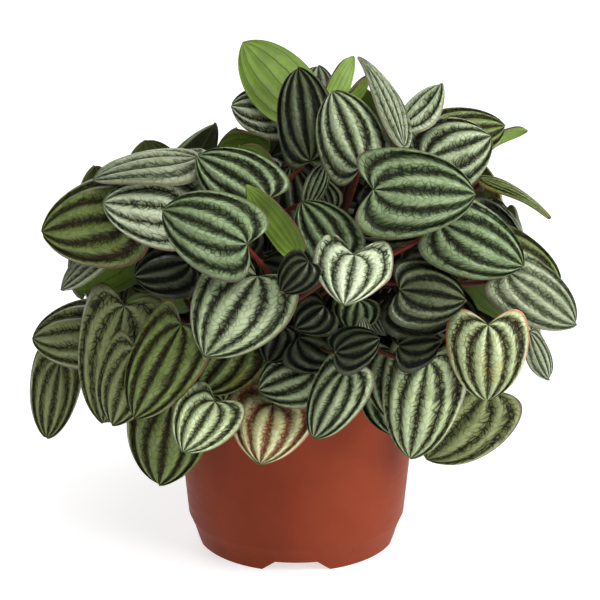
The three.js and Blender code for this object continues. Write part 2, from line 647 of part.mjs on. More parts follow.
function potSolid() {
  const floorTop = FLOOR_Z + WALL;
  const profile = [
    [0, FLOOR_Z],
    [FOOT_RADIUS - 2 * WALL, FLOOR_Z],
    [FOOT_RADIUS - 2 * WALL, 0],
    [FOOT_RADIUS, 0],
    [FOOT_TOP_RADIUS, FOOT_RING_HEIGHT],
    [SHOULDER_RADIUS, SHOULDER_HEIGHT],
    [wallRadius(RIM_BOTTOM), RIM_BOTTOM],
    [RIM_RADIUS - 0.4, RIM_BOTTOM],
    [RIM_RADIUS, RIM_BOTTOM + 1.5],
    [RIM_RADIUS, POT_HEIGHT - 1.2],
    [RIM_RADIUS - 1, POT_HEIGHT],
    [RIM_RADIUS - 2 * WALL, POT_HEIGHT],
    [wallRadius(RIM_BOTTOM) - WALL, RIM_BOTTOM - 2],
    [SHOULDER_RADIUS - WALL, SHOULDER_HEIGHT],
    [FOOT_TOP_RADIUS - WALL, floorTop],
    [0, floorTop],
  ];
  let solid = toSolid(upright(new THREE.LatheGeometry(
    profile.map(([x, y]) => new THREE.Vector2(x, y)), POT_SIDES)));
  for (let i = 0; i < 4; i += 1) {
    solid = solid.subtract(toSolid(notchGeometry().rotateZ(i * Math.PI / 2)));
  }
  for (let i = 0; i < DRAIN_COUNT; i += 1) {
    const round = 2 * Math.PI * i / DRAIN_COUNT;
    const hole = upright(new THREE.CylinderGeometry(DRAIN_RADIUS, DRAIN_RADIUS, 6 * WALL, DRAIN_SIDES))
      .translate(DRAIN_RING_RADIUS * Math.cos(round), DRAIN_RING_RADIUS * Math.sin(round), FLOOR_Z);
    solid = solid.subtract(toSolid(hole));
  }
  return solid;
}

// A wedge that cuts one notch through the front of the foot ring.
function notchGeometry() {
  const shape = new THREE.Shape([
    new THREE.Vector2(-NOTCH_BOTTOM_WIDTH / 2 - 1, -1),
    new THREE.Vector2(NOTCH_BOTTOM_WIDTH / 2 + 1, -1),
    new THREE.Vector2(NOTCH_TOP_WIDTH / 2, NOTCH_HEIGHT),
    new THREE.Vector2(-NOTCH_TOP_WIDTH / 2, NOTCH_HEIGHT),
  ]);
  const wedge = new THREE.ExtrudeGeometry(shape, { depth: FOOT_RADIUS, bevelEnabled: false });
  return upright(wedge).translate(0, -FOOT_RADIUS / 2, 0);
}

function soilSolid(stems) {
  const floorTop = FLOOR_Z + WALL + GAP;
  const clear = WALL + GAP;
  const profile = [
    [0, floorTop],
    [FOOT_TOP_RADIUS - clear - 0.2, floorTop],
    [SHOULDER_RADIUS - clear - 0.2, SHOULDER_HEIGHT],
    [wallRadius(SOIL_TOP) - clear - 0.2, SOIL_TOP],
    [STEM_RINGS[1].radius, SOIL_TOP + SOIL_CROWN * 0.5],
    [0, SOIL_TOP + SOIL_CROWN],
  ];
  let solid = toSolid(upright(new THREE.LatheGeometry(
    profile.map(([x, y]) => new THREE.Vector2(x, y)), SOIL_SIDES)));
  const depth = 60;
  for (const stem of stems) {
    const hole = upright(new THREE.CylinderGeometry(
      STEM_RADIUS + 1.5 * GAP, STEM_RADIUS + 1.5 * GAP, depth, STEM_SIDES));
    solid = solid.subtract(toSolid(hole.translate(stem.x, stem.y, STEM_BOTTOM - GAP + depth / 2)));
  }
  return solid;
}

// ---- The plant -------------------------------------------------------------------------

function material(color, roughness) {
  return new THREE.MeshStandardMaterial({ color, roughness, metalness: 0 });
}

function piece(name, solid, look) {
  const mesh = new THREE.Mesh(toGeometry(solid), look);
  mesh.name = name;
  return mesh;
}

const stems = stemPlaces();
const leaves = [...FRONT_LEAVES, ...backLeaves()];
leaves.forEach((row, index) => {
  row.index = index;
  row.phase = 2 * Math.PI * drawn(index, 8);
});
settle();
assignStems();
routeStalks();

const TERRACOTTA = material(0x96503a, 0.55);
const SOIL = material(0x2b2019, 0.95);
const FOLIAGE = material(0x7f9a6e, 0.5);

const plant = new THREE.Group();
plant.add(piece('pot', potSolid(), TERRACOTTA));
plant.add(piece('soil', soilSolid(stems), SOIL));
stems.forEach((place, i) => {
  const own = leaves.filter((row) => row.stem === i);
  plant.add(piece(`leafy_stem_${i + 1}`, leafyStemSolid(place, own), FOLIAGE));
});

export default plant;
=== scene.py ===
"""A potted peperomia: a dome of silver-green ribbed leaves on red stalks, in soil, in a
terracotta-coloured nursery pot."""
import math

import bpy
import numpy as np
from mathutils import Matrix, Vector
from mathutils.bvhtree import BVHTree
from mathutils.kdtree import KDTree


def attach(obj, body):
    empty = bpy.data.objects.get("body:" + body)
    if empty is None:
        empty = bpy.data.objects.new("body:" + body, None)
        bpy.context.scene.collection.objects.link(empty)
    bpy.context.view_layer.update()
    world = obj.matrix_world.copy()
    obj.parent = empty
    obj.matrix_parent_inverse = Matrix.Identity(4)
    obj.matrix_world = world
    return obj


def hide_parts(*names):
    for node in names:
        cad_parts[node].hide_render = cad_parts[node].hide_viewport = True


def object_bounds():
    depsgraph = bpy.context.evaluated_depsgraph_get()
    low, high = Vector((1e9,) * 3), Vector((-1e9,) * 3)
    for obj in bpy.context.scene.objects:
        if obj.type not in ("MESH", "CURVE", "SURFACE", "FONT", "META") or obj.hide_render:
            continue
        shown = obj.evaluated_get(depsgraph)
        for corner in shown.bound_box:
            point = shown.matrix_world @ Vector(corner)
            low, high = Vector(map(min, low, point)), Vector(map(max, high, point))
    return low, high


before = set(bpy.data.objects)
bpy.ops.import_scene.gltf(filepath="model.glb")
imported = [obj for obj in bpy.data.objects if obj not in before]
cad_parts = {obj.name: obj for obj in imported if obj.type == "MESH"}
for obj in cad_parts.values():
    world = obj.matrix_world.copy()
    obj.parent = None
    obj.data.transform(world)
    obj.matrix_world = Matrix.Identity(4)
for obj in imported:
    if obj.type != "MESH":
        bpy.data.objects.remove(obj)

cad_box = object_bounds()
MM = 0.001

# ---- The view, and the dome that the foliage fills; millimetres ---------------------------

VIEW_ELEVATION = math.radians(21)
VIEW_DISTANCE = 2000                # from the camera to the aim point
MM_PER_PIXEL = 0.497                # at the aim point
PICTURE_WIDTH = 600
AIM = np.array([1.9, 0, 125.3])     # what the middle of the picture shows
VIEW_RIGHT = np.array([1.0, 0, 0])
VIEW_UP = np.array([0, math.sin(VIEW_ELEVATION), math.cos(VIEW_ELEVATION)])
TO_VIEWER = np.array([0, -math.cos(VIEW_ELEVATION), math.sin(VIEW_ELEVATION)])
UPWARD = np.array([0, 0, 1.0])

DOME_CENTRE = np.array([0, 0, 140.0])
DOME_RADII = np.array([140.0, 110, 112])    # towards the viewer
BACK_RADII = np.array([127.0, 136, 80])     # and away

# ---- Leaves, stems and pot, as in the part; millimetres -----------------------------------

POT_HEIGHT = 110
RIM_RADIUS = 65
SOIL_TOP = 96
SOIL_CROWN = 3                      # how much the middle stands above the edge

STEM_RADIUS = 5.5
STEM_BOTTOM = 72
STEM_TOP = 132
STEM_RINGS = [(3, 14), (7, 40)]     # how many stems, and how far they stand from the middle
STALK_RADIUS = 1.9                  # the part's three-sided stalk, where it leaves the stem
STALK_END_RADIUS = 1                # and where it runs into the blade
STALK_STEPS = 3
STALK_REACH = 2.5                   # how far past the foot it runs under the blade
TOP_NODE_DROP = 3                   # of the topmost stalk's root below the stem's top
NODE_SPAN = 24                      # over which the roots of a stem are spread
LOAD_COST = 0.7                     # keeps the stems even
STALK_BOWS = [0, -9, 9, -18, 18, -28, 28, -40, 40, -54, 54]     # sideways detours
STALK_LIFTS = [0, 12, 24, 38, -10]                              # detours up or down
RIM_BRIDGE = 8                      # of a stalk above the rim

PART_THICKNESS = 1
EDGE_WAVE = 0.8
EDGE_WAVES = 9                      # radians of waving from foot to tip
LOBE_ROUNDNESS = 1.6
SWELL_FULLNESS = 0.7
BLADE_CLEARANCE = 4                 # between the sample points of two blades
POT_CLEARANCE = 3                   # between a blade and the pot's rim
PUSH_STEP = 1.5                     # a blade that touches an inner one is moved out
MOST_PUSHES = 40
SAMPLES = 12                        # steps between the sample points, each way
MOST_LEAN = 14                      # of a blade's tip towards the viewer
LEAN_SHARE = 0.35                   # of how much the dome leans there

# The part's plain blades, and the grown ones that stand for them. Outline: how wide near the
# foot and near the tip, and how far the shoulders reach. Veins: shares of the way from midrib
# to margin.
PART_OUTLINE = (0.8, 0.58, 0.9)
PART_VEINS = (0, 0.5, 1)
RIB_HEIGHT = 1.5
GROWN_OUTLINE = (0.77, 0.79, 0.8)
GROWN_VEINS = (0, 0.41, 0.77, 1)
SWELL_HEIGHT = 2.1                  # of a grown blade, between two veins
UNDER_SWELL = 0.35                  # where the picture shows the underside
FULL_SWELL_WIDTH = 30               # a narrower blade swells less
LOBE_REACH = 0.6                    # of plain lobes behind the foot, as a share of the length
LOBE_SOFTNESS = 0.12                # of the bend between blade and lobes, likewise


class Leaf:
    """One leaf: foot and tip are its stalk's end and its point in the picture, inset how deep
    its middle lies under the dome, wide its width, and tone the finish of its upper face. The
    full-grown blade is as slim as a share says, with lobes that are longer by heart."""

    def __init__(self, foot, tip, inset, wide, tone, face=(0, 0), under=False, lobe=1,
                 arch=36, curl=34, lean=None, slim=1, heart=0):
        self.foot, self.tip, self.inset, self.wide, self.tone = foot, tip, inset, wide, tone
        self.face, self.under, self.lobe = face, under, lobe
        self.arch, self.curl, self.lean = math.radians(arch), math.radians(curl), lean
        self.slim, self.heart = slim, heart


FRONT_LEAVES = [
    # crest
    Leaf((305, 113), (243, 42), 27, 32, "lime", under=True, face=(0.1, 0.1), lobe=0.3, arch=-16,
         curl=-14, slim=0.88),
    Leaf((311, 161), (298, 68), 8, 31, "deep", face=(-0.25, 0.1), lobe=0.5, curl=48),
    Leaf((361, 167), (332, 91), 0, 33, "mist", face=(-0.2, 0.2), curl=40, lean=-6),
    # Its silver tone is paler than its own: painted light against the shade of the leaves above it.
    Leaf((290, 113), (231, 106), 49, 27, "silver", face=(-0.2, 0.5), lobe=0.6),
    Leaf((318, 112), (318, 66), 57, 22, "pale", face=(0.3, 0.3)),
    Leaf((330, 108), (354, 57), 42, 19, "lime", under=True, face=(0.9, 0.1), lobe=0.2, curl=30,
         slim=0.7),
    Leaf((345, 98), (372, 76), 30, 16, "olive", under=True, face=(0.2, -1.8), lobe=0.2),
    Leaf((402, 147), (358, 57), 19, 27, "pale", face=(1.3, 0.9), lobe=0.3, arch=52, curl=30,
         slim=0.66),
    Leaf((402, 151), (361, 88), 38, 22, "pale", under=True, face=(-1.6, -1.2), lobe=0.2),
    Leaf((397, 130), (441, 84), 27, 26, "mist", face=(-1.2, 0.7), lobe=0.4, curl=55),
    Leaf((385, 132), (400, 103), 57, 18, "lime", under=True, face=(0, 0.1), lobe=0.4),
    Leaf((426, 160), (491, 136), 15, 37, "mist", face=(0.25, 0.45), lean=-10),
    Leaf((430, 138), (505, 126), 38, 30, "olive", face=(0.3, 0.6), lobe=0.6),
    Leaf((478, 146), (527, 131), 46, 18, "pale", under=True, face=(0.2, -1.0), lobe=0.3, slim=0.6),
    # right shoulder
    Leaf((374, 190), (476, 194), 0, 42, "green", face=(0.05, 0.15), arch=40, curl=40, heart=0.2),
    Leaf((441, 223), (523, 266), 4, 36, "green", face=(0.15, 0.25), arch=40),
    Leaf((478, 179), (551, 218), 19, 20, "olive", face=(0.2, 1.5), lobe=0.3, curl=50, slim=0.5),
    Leaf((507, 272), (576, 324), 8, 31, "pale", face=(0.35, 0.25)),
    Leaf((497, 248), (560, 290), 27, 34, "olive", face=(0.4, 0.4)),
    Leaf((498, 272), (526, 330), 19, 20, "pale", face=(1.5, 0.4), lobe=0.3),
    Leaf((468, 272), (518, 326), 30, 22, "olive", under=True, face=(-0.9, -0.5), lobe=0.4),
    Leaf((488, 325), (487, 401), 4, 36, "blush", face=(0, 0.1), lobe=1.3, curl=30),
    Leaf((524, 316), (537, 353), 30, 22, "mist", face=(1.2, 0.2), lobe=0.4),
    Leaf((529, 332), (549, 379), 27, 16, "pale", face=(1.0, 0.1), lobe=0.3),
    Leaf((360, 237), (438, 231), 27, 24, "deep", face=(0, 1.9), lobe=0.4),
    Leaf((408, 290), (470, 298), 46, 27, "deep", face=(0, 0.2)),
    Leaf((405, 268), (462, 281), 68, 26, "deep", face=(0, 0.3)),
    Leaf((400, 313), (455, 324), 57, 22, "deep", face=(0, 0.5)),
    # middle
    Leaf((354, 257), (344, 305), 0, 37, "silver", face=(0, 0.1), lobe=1.4, lean=24, arch=50, curl=36,
         heart=1.3, slim=0.95),
    Leaf((340, 257), (302, 202), 11, 29, "green", face=(-0.15, 0.1)),
    Leaf((299, 256), (246, 186), 11, 20, "lime", under=True, face=(-1.0, 0.5), lobe=0.2, curl=24,
         slim=0.7),
    Leaf((300, 238), (291, 166), 65, 27, "deep", face=(0, 0.1), lobe=0.6),
    Leaf((308, 206), (326, 163), 34, 15, "mist", face=(1.6, 0.4), lobe=0.2),
    Leaf((334, 212), (320, 176), 46, 15, "mist", face=(-1.6, 0.4), lobe=0.2),
    Leaf((358, 300), (352, 331), 23, 22, "green", face=(0, 0.1), lobe=0.8),
    Leaf((362, 318), (366, 344), 19, 7, "pale", face=(0.2, 0), lobe=0.1),
    Leaf((370, 309), (385, 336), 27, 8, "pale", face=(0.2, 0), lobe=0.1),
    Leaf((437, 350), (461, 325), 49, 20, "lime", face=(0.2, 0.5)),
    Leaf((300, 272), (258, 258), 57, 24, "deep", face=(0, 0.6)),
    # left shoulder
    Leaf((268, 199), (197, 156), 15, 32, "green", face=(-0.1, 0.3)),
    Leaf((276, 186), (240, 146), 34, 22, "lime", under=True, face=(-0.5, -0.6), lobe=0.5),
    Leaf((268, 152), (217, 148), 49, 26, "lime", under=True, face=(-0.2, -0.8), lobe=0.4),
    Leaf((247, 244), (162, 210), 0, 38, "green", face=(-0.1, 0.2), arch=40),
    Leaf((190, 212), (103, 203), 11, 35, "silver", face=(-0.15, 0.25), arch=42),
    Leaf((132, 214), (42, 232), 30, 43, "olive", face=(-0.2, 0.2)),
    Leaf((198, 160), (93, 179), 30, 34, "pale", face=(-0.3, 2.0), lobe=0.6, arch=46),
    Leaf((128, 233), (60, 290), 42, 22, "pale", face=(-0.6, 1.2), lobe=0.3),
    Leaf((138, 250), (74, 289), 49, 26, "olive", under=True, face=(0.2, -0.4), lobe=0.5),
    Leaf((186, 262), (128, 284), 72, 30, "deep", face=(-0.2, 0.4)),
    Leaf((190, 300), (128, 301), 53, 20, "olive", under=True, face=(0, -1.6), lobe=0.3),
    # lower left
    Leaf((257, 277), (205, 356), 0, 44, "mist", face=(-0.05, 0.1), arch=44, curl=34, lean=12,
         heart=0.3),
    Leaf((125, 306), (103, 423), 23, 41, "dusk", face=(-0.25, 0.1), arch=30),
    Leaf((60, 361), (47, 438), 8, 32, "dusk", face=(0.15, 0.2), arch=24, curl=46, lobe=1.1,
         slim=0.76),
    Leaf((104, 328), (33, 338), 38, 35, "dusk", face=(-0.2, 0.4)),
    Leaf((136, 350), (112, 425), 17, 30, "dusk", face=(-0.3, 0.1)),
    Leaf((182, 325), (134, 418), 8, 35, "olive", face=(-0.35, 0.1), arch=34),
    Leaf((172, 402), (159, 485), 27, 40, "olive", face=(-0.1, 0)),
    Leaf((214, 403), (183, 452), 11, 33, "fresh", face=(-0.05, 0.1), lobe=1.2, lean=18, arch=44,
         heart=0.5, slim=0.9),
    Leaf((273, 406), (260, 464), 17, 38, "cream", face=(0, 0.1), lobe=1.2, lean=20, arch=44,
         curl=26, heart=0.9),
    Leaf((218, 356), (224, 402), 38, 26, "olive", face=(0, 0.3)),
    Leaf((268, 342), (253, 393), 42, 14, "lime", under=True, face=(-1.4, 0.2), lobe=0.2),
    # lower right
    Leaf((314, 369), (258, 390), 23, 30, "mist", face=(-0.1, 0.3), arch=44),
    Leaf((347, 369), (314, 438), 11, 28, "mist", face=(-0.35, 0.1), curl=46),
    Leaf((428, 360), (410, 458), 0, 39, "fresh", face=(-0.1, 0.1), arch=44, curl=40, heart=0.3),
    Leaf((394, 351), (397, 422), 23, 30, "mist", face=(-0.1, 0.1)),
    Leaf((386, 376), (397, 436), 38, 30, "green", face=(-0.1, 0)),
    Leaf((487, 390), (427, 459), 34, 45, "dusk", face=(0.1, 0)),
]

# Rings of leaves on the sides and back: how many, how high on the dome, and from where to
# where they run, in degrees round from the right over the back to the left
BACK_RINGS = [(6, -20, 6, 174), (6, 12, 26, 166), (4, 40, 16, 150), (2, 62, 34, 112)]
BACK_LEAF_LENGTH = (40, 50)
BACK_LEAF_SLENDERNESS = 0.8         # width over length
BACK_ARCH = (30, 48)
BACK_CURL = (28, 44)
BACK_INSET = 22
BACK_SCATTER = (0.3, 10)            # along the ring, in steps, and in height, in degrees
BACK_SWING = 30                     # degrees that a tip may swing sideways
BACK_SPREAD = 0.15                  # how far a tip leans outwards
BACK_FACING = 0.45                  # how far a face looks up
BACK_TONES = ["mist", "green", "olive", "mist", "dusk"]


def drawn(index, kind):
    """A number from 0 to 1 that looks drawn at random and is the same every time."""
    value = math.sin(index * 12.9898 + kind * 78.233) * 43758.5453
    return value - math.floor(value)


def mix(low, high, share):
    """The number that lies a share of the way from low to high."""
    return low + (high - low) * share


def unit(vector):
    return vector / np.linalg.norm(vector)


# ---- Placing the leaves -------------------------------------------------------------------

def seen(pixel, depth):
    """The point that the picture shows at a pixel, depth mm nearer the viewer than the aim."""
    scale = MM_PER_PIXEL * (1 - depth / VIEW_DISTANCE)
    right = (pixel[0] - PICTURE_WIDTH / 2) * scale
    up = (PICTURE_WIDTH / 2 - pixel[1]) * scale
    return AIM + VIEW_RIGHT * right + VIEW_UP * up + TO_VIEWER * depth


def dome_depth(pixel):
    """The depth at which the line of sight through a pixel comes out of the dome."""
    start = (seen(pixel, 0) - DOME_CENTRE) / DOME_RADII
    step = (seen(pixel, 1) - DOME_CENTRE) / DOME_RADII - start
    a, b, c = step @ step, start @ step, start @ start - 1
    return (-b + math.sqrt(max(0, b * b - a * c))) / a


def orient(row, foot, tip, facing):
    """Lays a blade from foot to tip, its upper face as far towards facing as that allows."""
    row.origin = foot
    row.length = float(np.linalg.norm(tip - foot))
    row.along = unit(tip - foot)
    row.normal = unit(facing - row.along * (facing @ row.along))
    row.across = np.cross(row.normal, row.along)
    u, v = np.meshgrid(np.linspace(-1, 1, SAMPLES + 1), np.linspace(0, 1, SAMPLES + 1))
    row.samples = blade_points(row, u.ravel(), v.ravel())
    row.centre = blade_points(row, np.zeros(1), np.full(1, 0.5))[0]
    row.reach = np.linalg.norm(row.samples - row.centre, axis=1).max()
    under_foot = blade_points(row, np.zeros(1), np.full(1, STALK_REACH / row.length))[0]
    row.stalk_end = under_foot - row.normal * PART_THICKNESS / 2


def place_front(row, push):
    """Puts a blade where the picture shows it, push mm nearer the viewer than its inset."""
    middle = ((row.foot[0] + row.tip[0]) / 2, (row.foot[1] + row.tip[1]) / 2)
    depth = dome_depth(middle) - row.inset + push
    lean = row.lean
    if lean is None:
        lean = LEAN_SHARE * (dome_depth(row.tip) - dome_depth(row.foot))
        lean = max(-MOST_LEAN, min(MOST_LEAN, lean))
    facing = TO_VIEWER + VIEW_RIGHT * row.face[0] + VIEW_UP * row.face[1]
    if row.under:
        facing = -facing
    orient(row, seen(row.foot, depth - lean / 2), seen(row.tip, depth + lean / 2), facing)


def dome_ways(turn, height):
    """The ways out of the dome, sideways along it and up along it, at a turn round its middle
    and an angle above the horizontal."""
    level = math.cos(height)
    outward = np.array([level * math.cos(turn), level * math.sin(turn), math.sin(height)])
    sideways = np.array([-math.sin(turn), math.cos(turn), 0])
    return outward, sideways, np.cross(outward, sideways)


def place_back(row, push):
    """Stands a blade on the sides or back of the dome, push mm further out than its inset."""
    outward, sideways, up = dome_ways(row.round, row.height)
    centre = outward * BACK_RADII + DOME_CENTRE + outward * (push - BACK_INSET)
    way = unit(up * math.cos(row.swing) + sideways * math.sin(row.swing) + outward * BACK_SPREAD)
    foot = centre - way * row.size / 2
    orient(row, foot, foot + way * row.size, outward + UPWARD * BACK_FACING)


def back_leaves():
    """The leaves that the picture doesn't show, by a seeded rule."""
    rows = []
    along_ring, in_height = BACK_SCATTER
    for count, height, start, end in BACK_RINGS:
        for i in range(count):
            index = len(rows) + 1
            share = (i + 0.5 + along_ring * (drawn(index, 1) - 0.5)) / count
            size = mix(*BACK_LEAF_LENGTH, drawn(index, 2))
            row = Leaf(None, None, BACK_INSET, size * BACK_LEAF_SLENDERNESS,
                       BACK_TONES[index % len(BACK_TONES)],
                       arch=mix(*BACK_ARCH, drawn(index, 5)), curl=mix(*BACK_CURL, drawn(index, 6)))
            row.size = size
            row.round = math.radians(mix(start, end, share))
            row.height = math.radians(height + in_height * (drawn(index, 3) - 0.5))
            row.swing = math.radians(BACK_SWING * (2 * drawn(index, 4) - 1))
            rows.append(row)
    return rows


def blade_points(row, u, v, grown=False):
    """Points of a blade's upper face. u runs across from margin (-1) to margin (1), and v along
    from foot (0) to tip (1). The blade sinks at the veins and swells between them. A grown
    blade is the finished one, with all its veins, and not the part's plainer one."""
    wide, lobe, outline, veins, ribs = row.wide, row.lobe, PART_OUTLINE, PART_VEINS, RIB_HEIGHT
    if grown:
        wide, lobe, outline, veins = wide * row.slim, lobe + row.heart, GROWN_OUTLINE, GROWN_VEINS
        ribs = UNDER_SWELL if row.under else SWELL_HEIGHT
        ribs *= min(1, row.wide / FULL_SWELL_WIDTH)
    near_foot, near_tip, shoulder = outline
    s = np.abs(u)
    early = 3 * (1 - v) ** 2 * v
    late = 3 * (1 - v) * v ** 2
    back = mix(row.length / 3, -LOBE_REACH * lobe * row.length, s ** LOBE_ROUNDNESS)
    front = mix(row.length * 2 / 3, row.length * shoulder, s)
    x = early * back + late * front + v ** 3 * row.length
    y = u * wide * (near_foot * early + near_tip * late)

    half = row.wide / 2
    across = half / row.curl * np.sin(row.curl * y / half)
    drop = half / row.curl * (1 - np.cos(row.curl * y / half))
    swell = np.zeros_like(s)
    for low, high in zip(veins, veins[1:]):
        inside = (s >= low) & (s <= high)
        share = (s[inside] - low) / (high - low)
        swell[inside] = (1 - np.cos(2 * math.pi * share)) / 2
    rib = ribs * swell * np.clip(np.sin(math.pi * v), 0, 1) ** SWELL_FULLNESS
    wave = EDGE_WAVE * s * s * np.sin(EDGE_WAVES * v + row.phase + np.sign(u))
    bend = row.length / (2 * math.sin(row.arch / 2))
    spill = 0
    if grown:
        # The lobes behind the foot don't bend down with the blade
        bent = (x + np.sqrt(x * x + (LOBE_SOFTNESS * row.length) ** 2)) / 2
        spill = x - bent
        x = bent
    turn = (x / row.length - 0.5) * row.arch
    radius = bend + rib + wave - drop
    lift = radius * np.cos(turn) - bend * math.cos(row.arch / 2)
    return (row.origin + np.outer(row.length / 2 + radius * np.sin(turn) + spill, row.along)
            + np.outer(across, row.across) + np.outer(lift, row.normal))


def blades_meet(one, other):
    apart = np.linalg.norm(one.centre - other.centre)
    if apart > one.reach + other.reach + BLADE_CLEARANCE:
        return False
    steps = one.samples[:, None] - other.samples[None]
    return np.sqrt((steps ** 2).sum(2).min()) < BLADE_CLEARANCE


def near_pot(row):
    r = np.hypot(row.samples[:, 0], row.samples[:, 1])
    low = row.samples[:, 2] < POT_HEIGHT + POT_CLEARANCE
    return bool((low & (r < RIM_RADIUS + POT_CLEARANCE)).any())


def settle(rows):
    """The innermost leaf keeps its place, and each further one moves out until it is clear."""
    settled = []
    for row in sorted(rows, key=lambda row: -row.inset):
        place = place_front if row.foot else place_back
        for pushes in range(MOST_PUSHES + 1):
            place(row, pushes * PUSH_STEP)
            if near_pot(row):
                continue
            if not any(blades_meet(row, other) for other in settled):
                break
        settled.append(row)


# ---- Stalks -------------------------------------------------------------------------------

def stem_places():
    places = []
    for count, radius in STEM_RINGS:
        for i in range(count):
            turn = 2 * math.pi * (i / count - 0.25)
            places.append(np.array([radius * math.cos(turn), radius * math.sin(turn), STEM_TOP]))
    return places


STEM_PULL = 0.6                     # a leaf's stem is sought this share of its way out
ROOT_SHARE = 0.4                    # of the stem's radius, for where a stalk starts
ARRIVAL = (0.8, 0.7)                # of the blade's facing and the stalk's way, at its end
RISE = (0.36, 0.12)                 # of a stalk's length, up and outwards from its root
APPROACH = 0.32                     # of its length, for its last bend
SOIL_ROOM = (10, 2.5)               # from the rim inwards, and above the soil
RIM_ROOM = (4, 3.5)                 # from the rim outwards, and above it


def stem_gap(row, stem):
    return math.hypot(row.origin[0] * STEM_PULL - stem[0], row.origin[1] * STEM_PULL - stem[1])


def steepness(row, stem):
    away = math.hypot(row.origin[0] - stem[0], row.origin[1] - stem[1])
    return (row.origin[2] - stem[2]) / away


def share_out(rows, stems):
    """Gives each leaf the height of its stalk's root, the steepest leaf of a stem at its top."""
    load = [0] * len(stems)
    for row in sorted(rows, key=lambda row: -np.linalg.norm(row.origin)):
        costs = [stem_gap(row, stem) + LOAD_COST * load[i] ** 2 for i, stem in enumerate(stems)]
        row.stem = costs.index(min(costs))
        load[row.stem] += 1
    for i, stem in enumerate(stems):
        own = sorted((row for row in rows if row.stem == i), key=lambda row: -steepness(row, stem))
        for node, row in enumerate(own):
            row.root_drop = TOP_NODE_DROP + NODE_SPAN * node / load[i]


def clear_height(r):
    """The height above which a stalk clears the soil or the rim, at radius r."""
    over_rim = np.where(r < RIM_RADIUS + RIM_ROOM[0], POT_HEIGHT + RIM_ROOM[1], 0)
    return np.where(r < RIM_RADIUS - SOIL_ROOM[0], SOIL_TOP + SOIL_CROWN + SOIL_ROOM[1], over_rim)


def stalk_curve(row, stem, bow, lift):
    """The four control points of a stalk that leaves its stem and arrives under the blade."""
    outward = unit((row.origin - stem) * [1, 1, 0])
    root = stem + outward * ROOT_SHARE * STEM_RADIUS - UPWARD * row.root_drop
    span = row.origin - root
    reach = np.linalg.norm(span)
    aside = unit(np.cross(span, UPWARD))
    arrival = unit(row.normal * ARRIVAL[0] + span * ARRIVAL[1] / reach)
    rise = root + UPWARD * (RISE[0] * reach + lift) + outward * RISE[1] * reach + aside * bow
    near = row.origin - arrival * APPROACH * reach + aside * 0.5 * bow
    near[2] += max(0, clear_height(math.hypot(near[0], near[1])) + RIM_BRIDGE - near[2])
    return np.array([root, rise, near, row.stalk_end])


def along_curve(curve, count):
    """count + 1 points at even distances along a cubic curve."""
    t = np.linspace(0, 1, 101)[:, None]
    points = ((1 - t) ** 3 * curve[0] + 3 * (1 - t) ** 2 * t * curve[1]
              + 3 * (1 - t) * t ** 2 * curve[2] + t ** 3 * curve[3])
    walked = np.concatenate([[0], np.cumsum(np.linalg.norm(np.diff(points, axis=0), axis=1))])
    marks = np.linspace(0, walked[-1], count + 1)
    return np.stack([np.interp(marks, walked, points[:, axis]) for axis in range(3)], axis=1)


def node_surface(node):
    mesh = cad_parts[node].data
    corners = [v.co for v in mesh.vertices]
    return BVHTree.FromPolygons(corners, [tuple(p.vertices) for p in mesh.polygons])


def follow_part(rows, stems):
    """Finds for each leaf the stem and the way round the others that the part's stalk takes: the
    one whose middle line runs inside the part's own surface."""
    surfaces = [node_surface(f"leafy_stem_{i + 1}") for i in range(len(stems))]
    shares = (np.arange(STALK_STEPS) + 0.5) / STALK_STEPS
    depths = mix(STALK_RADIUS, STALK_END_RADIUS, shares) / 2
    for row in rows:
        best = None
        for i, stem in enumerate(stems):
            for bow in STALK_BOWS:
                for lift in STALK_LIFTS:
                    curve = stalk_curve(row, stem, bow, lift)
                    joints = along_curve(curve, STALK_STEPS)
                    miss = 0
                    for point, depth in zip((joints[:-1] + joints[1:]) / 2, depths):
                        gap = surfaces[i].find_nearest(Vector(point * MM))[3] / MM
                        miss = max(miss, abs(gap - depth))
                        if best and miss > best[0]:
                            break
                    if best is None or miss < best[0]:
                        best = (miss, i, curve)
        _, row.stem, row.stalk = best


# ---- Finishes -----------------------------------------------------------------------------

def srgb(red, green, blue):
    """A colour as a screen shows it, 0 to 255, as Blender's linear colour."""
    channels = [channel / 255 for channel in (red, green, blue)]
    return tuple(c / 12.92 if c <= 0.04045 else ((c + 0.055) / 1.055) ** 2.4
                 for c in channels) + (1.0,)


class Field:
    """What changes over a surface, a number, place or colour: the output of one of a material's
    nodes. Sums and products of fields are fields, with nodes of their own."""

    def __init__(self, tree, socket):
        self.tree, self.socket = tree, socket

    def __add__(self, other):
        return calc("ADD", self, other)

    def __sub__(self, other):
        return calc("SUBTRACT", self, other)

    def __mul__(self, other):
        return calc("MULTIPLY", self, other)

    def __abs__(self):
        return calc("ABSOLUTE", self)


def feed(node, inputs):
    """Links inputs of a node to fields, or sets them to plain values."""
    for name, value in inputs.items():
        if isinstance(value, Field):
            value.tree.links.new(value.socket, node.inputs[name])
        else:
            node.inputs[name].default_value = value


def new_field(tree, kind, inputs, output, **settings):
    """An output of a new node, which is set and fed first."""
    node = tree.nodes.new(kind)
    for name, value in settings.items():
        setattr(node, name, value)
    feed(node, inputs)
    return Field(tree, node.outputs[output])


def calc(operation, first, *others):
    inputs = dict(enumerate((first, *others)))
    return new_field(first.tree, "ShaderNodeMath", inputs, 0, operation=operation)


def ramp(field, low, high, start=0.0, end=1.0):
    """start below low, end above high, and a smooth way between them."""
    inputs = {"Value": field, "From Min": low, "From Max": high, "To Min": start, "To Max": end}
    return new_field(field.tree, "ShaderNodeMapRange", inputs, "Result",
                     interpolation_type="SMOOTHSTEP")


def tint(share, one, other):
    """The colour one where share is 0, and the other where it is 1."""
    inputs = {"Factor": share, 6: one, 7: other}
    return new_field(share.tree, "ShaderNodeMix", inputs, 2, data_type="RGBA")


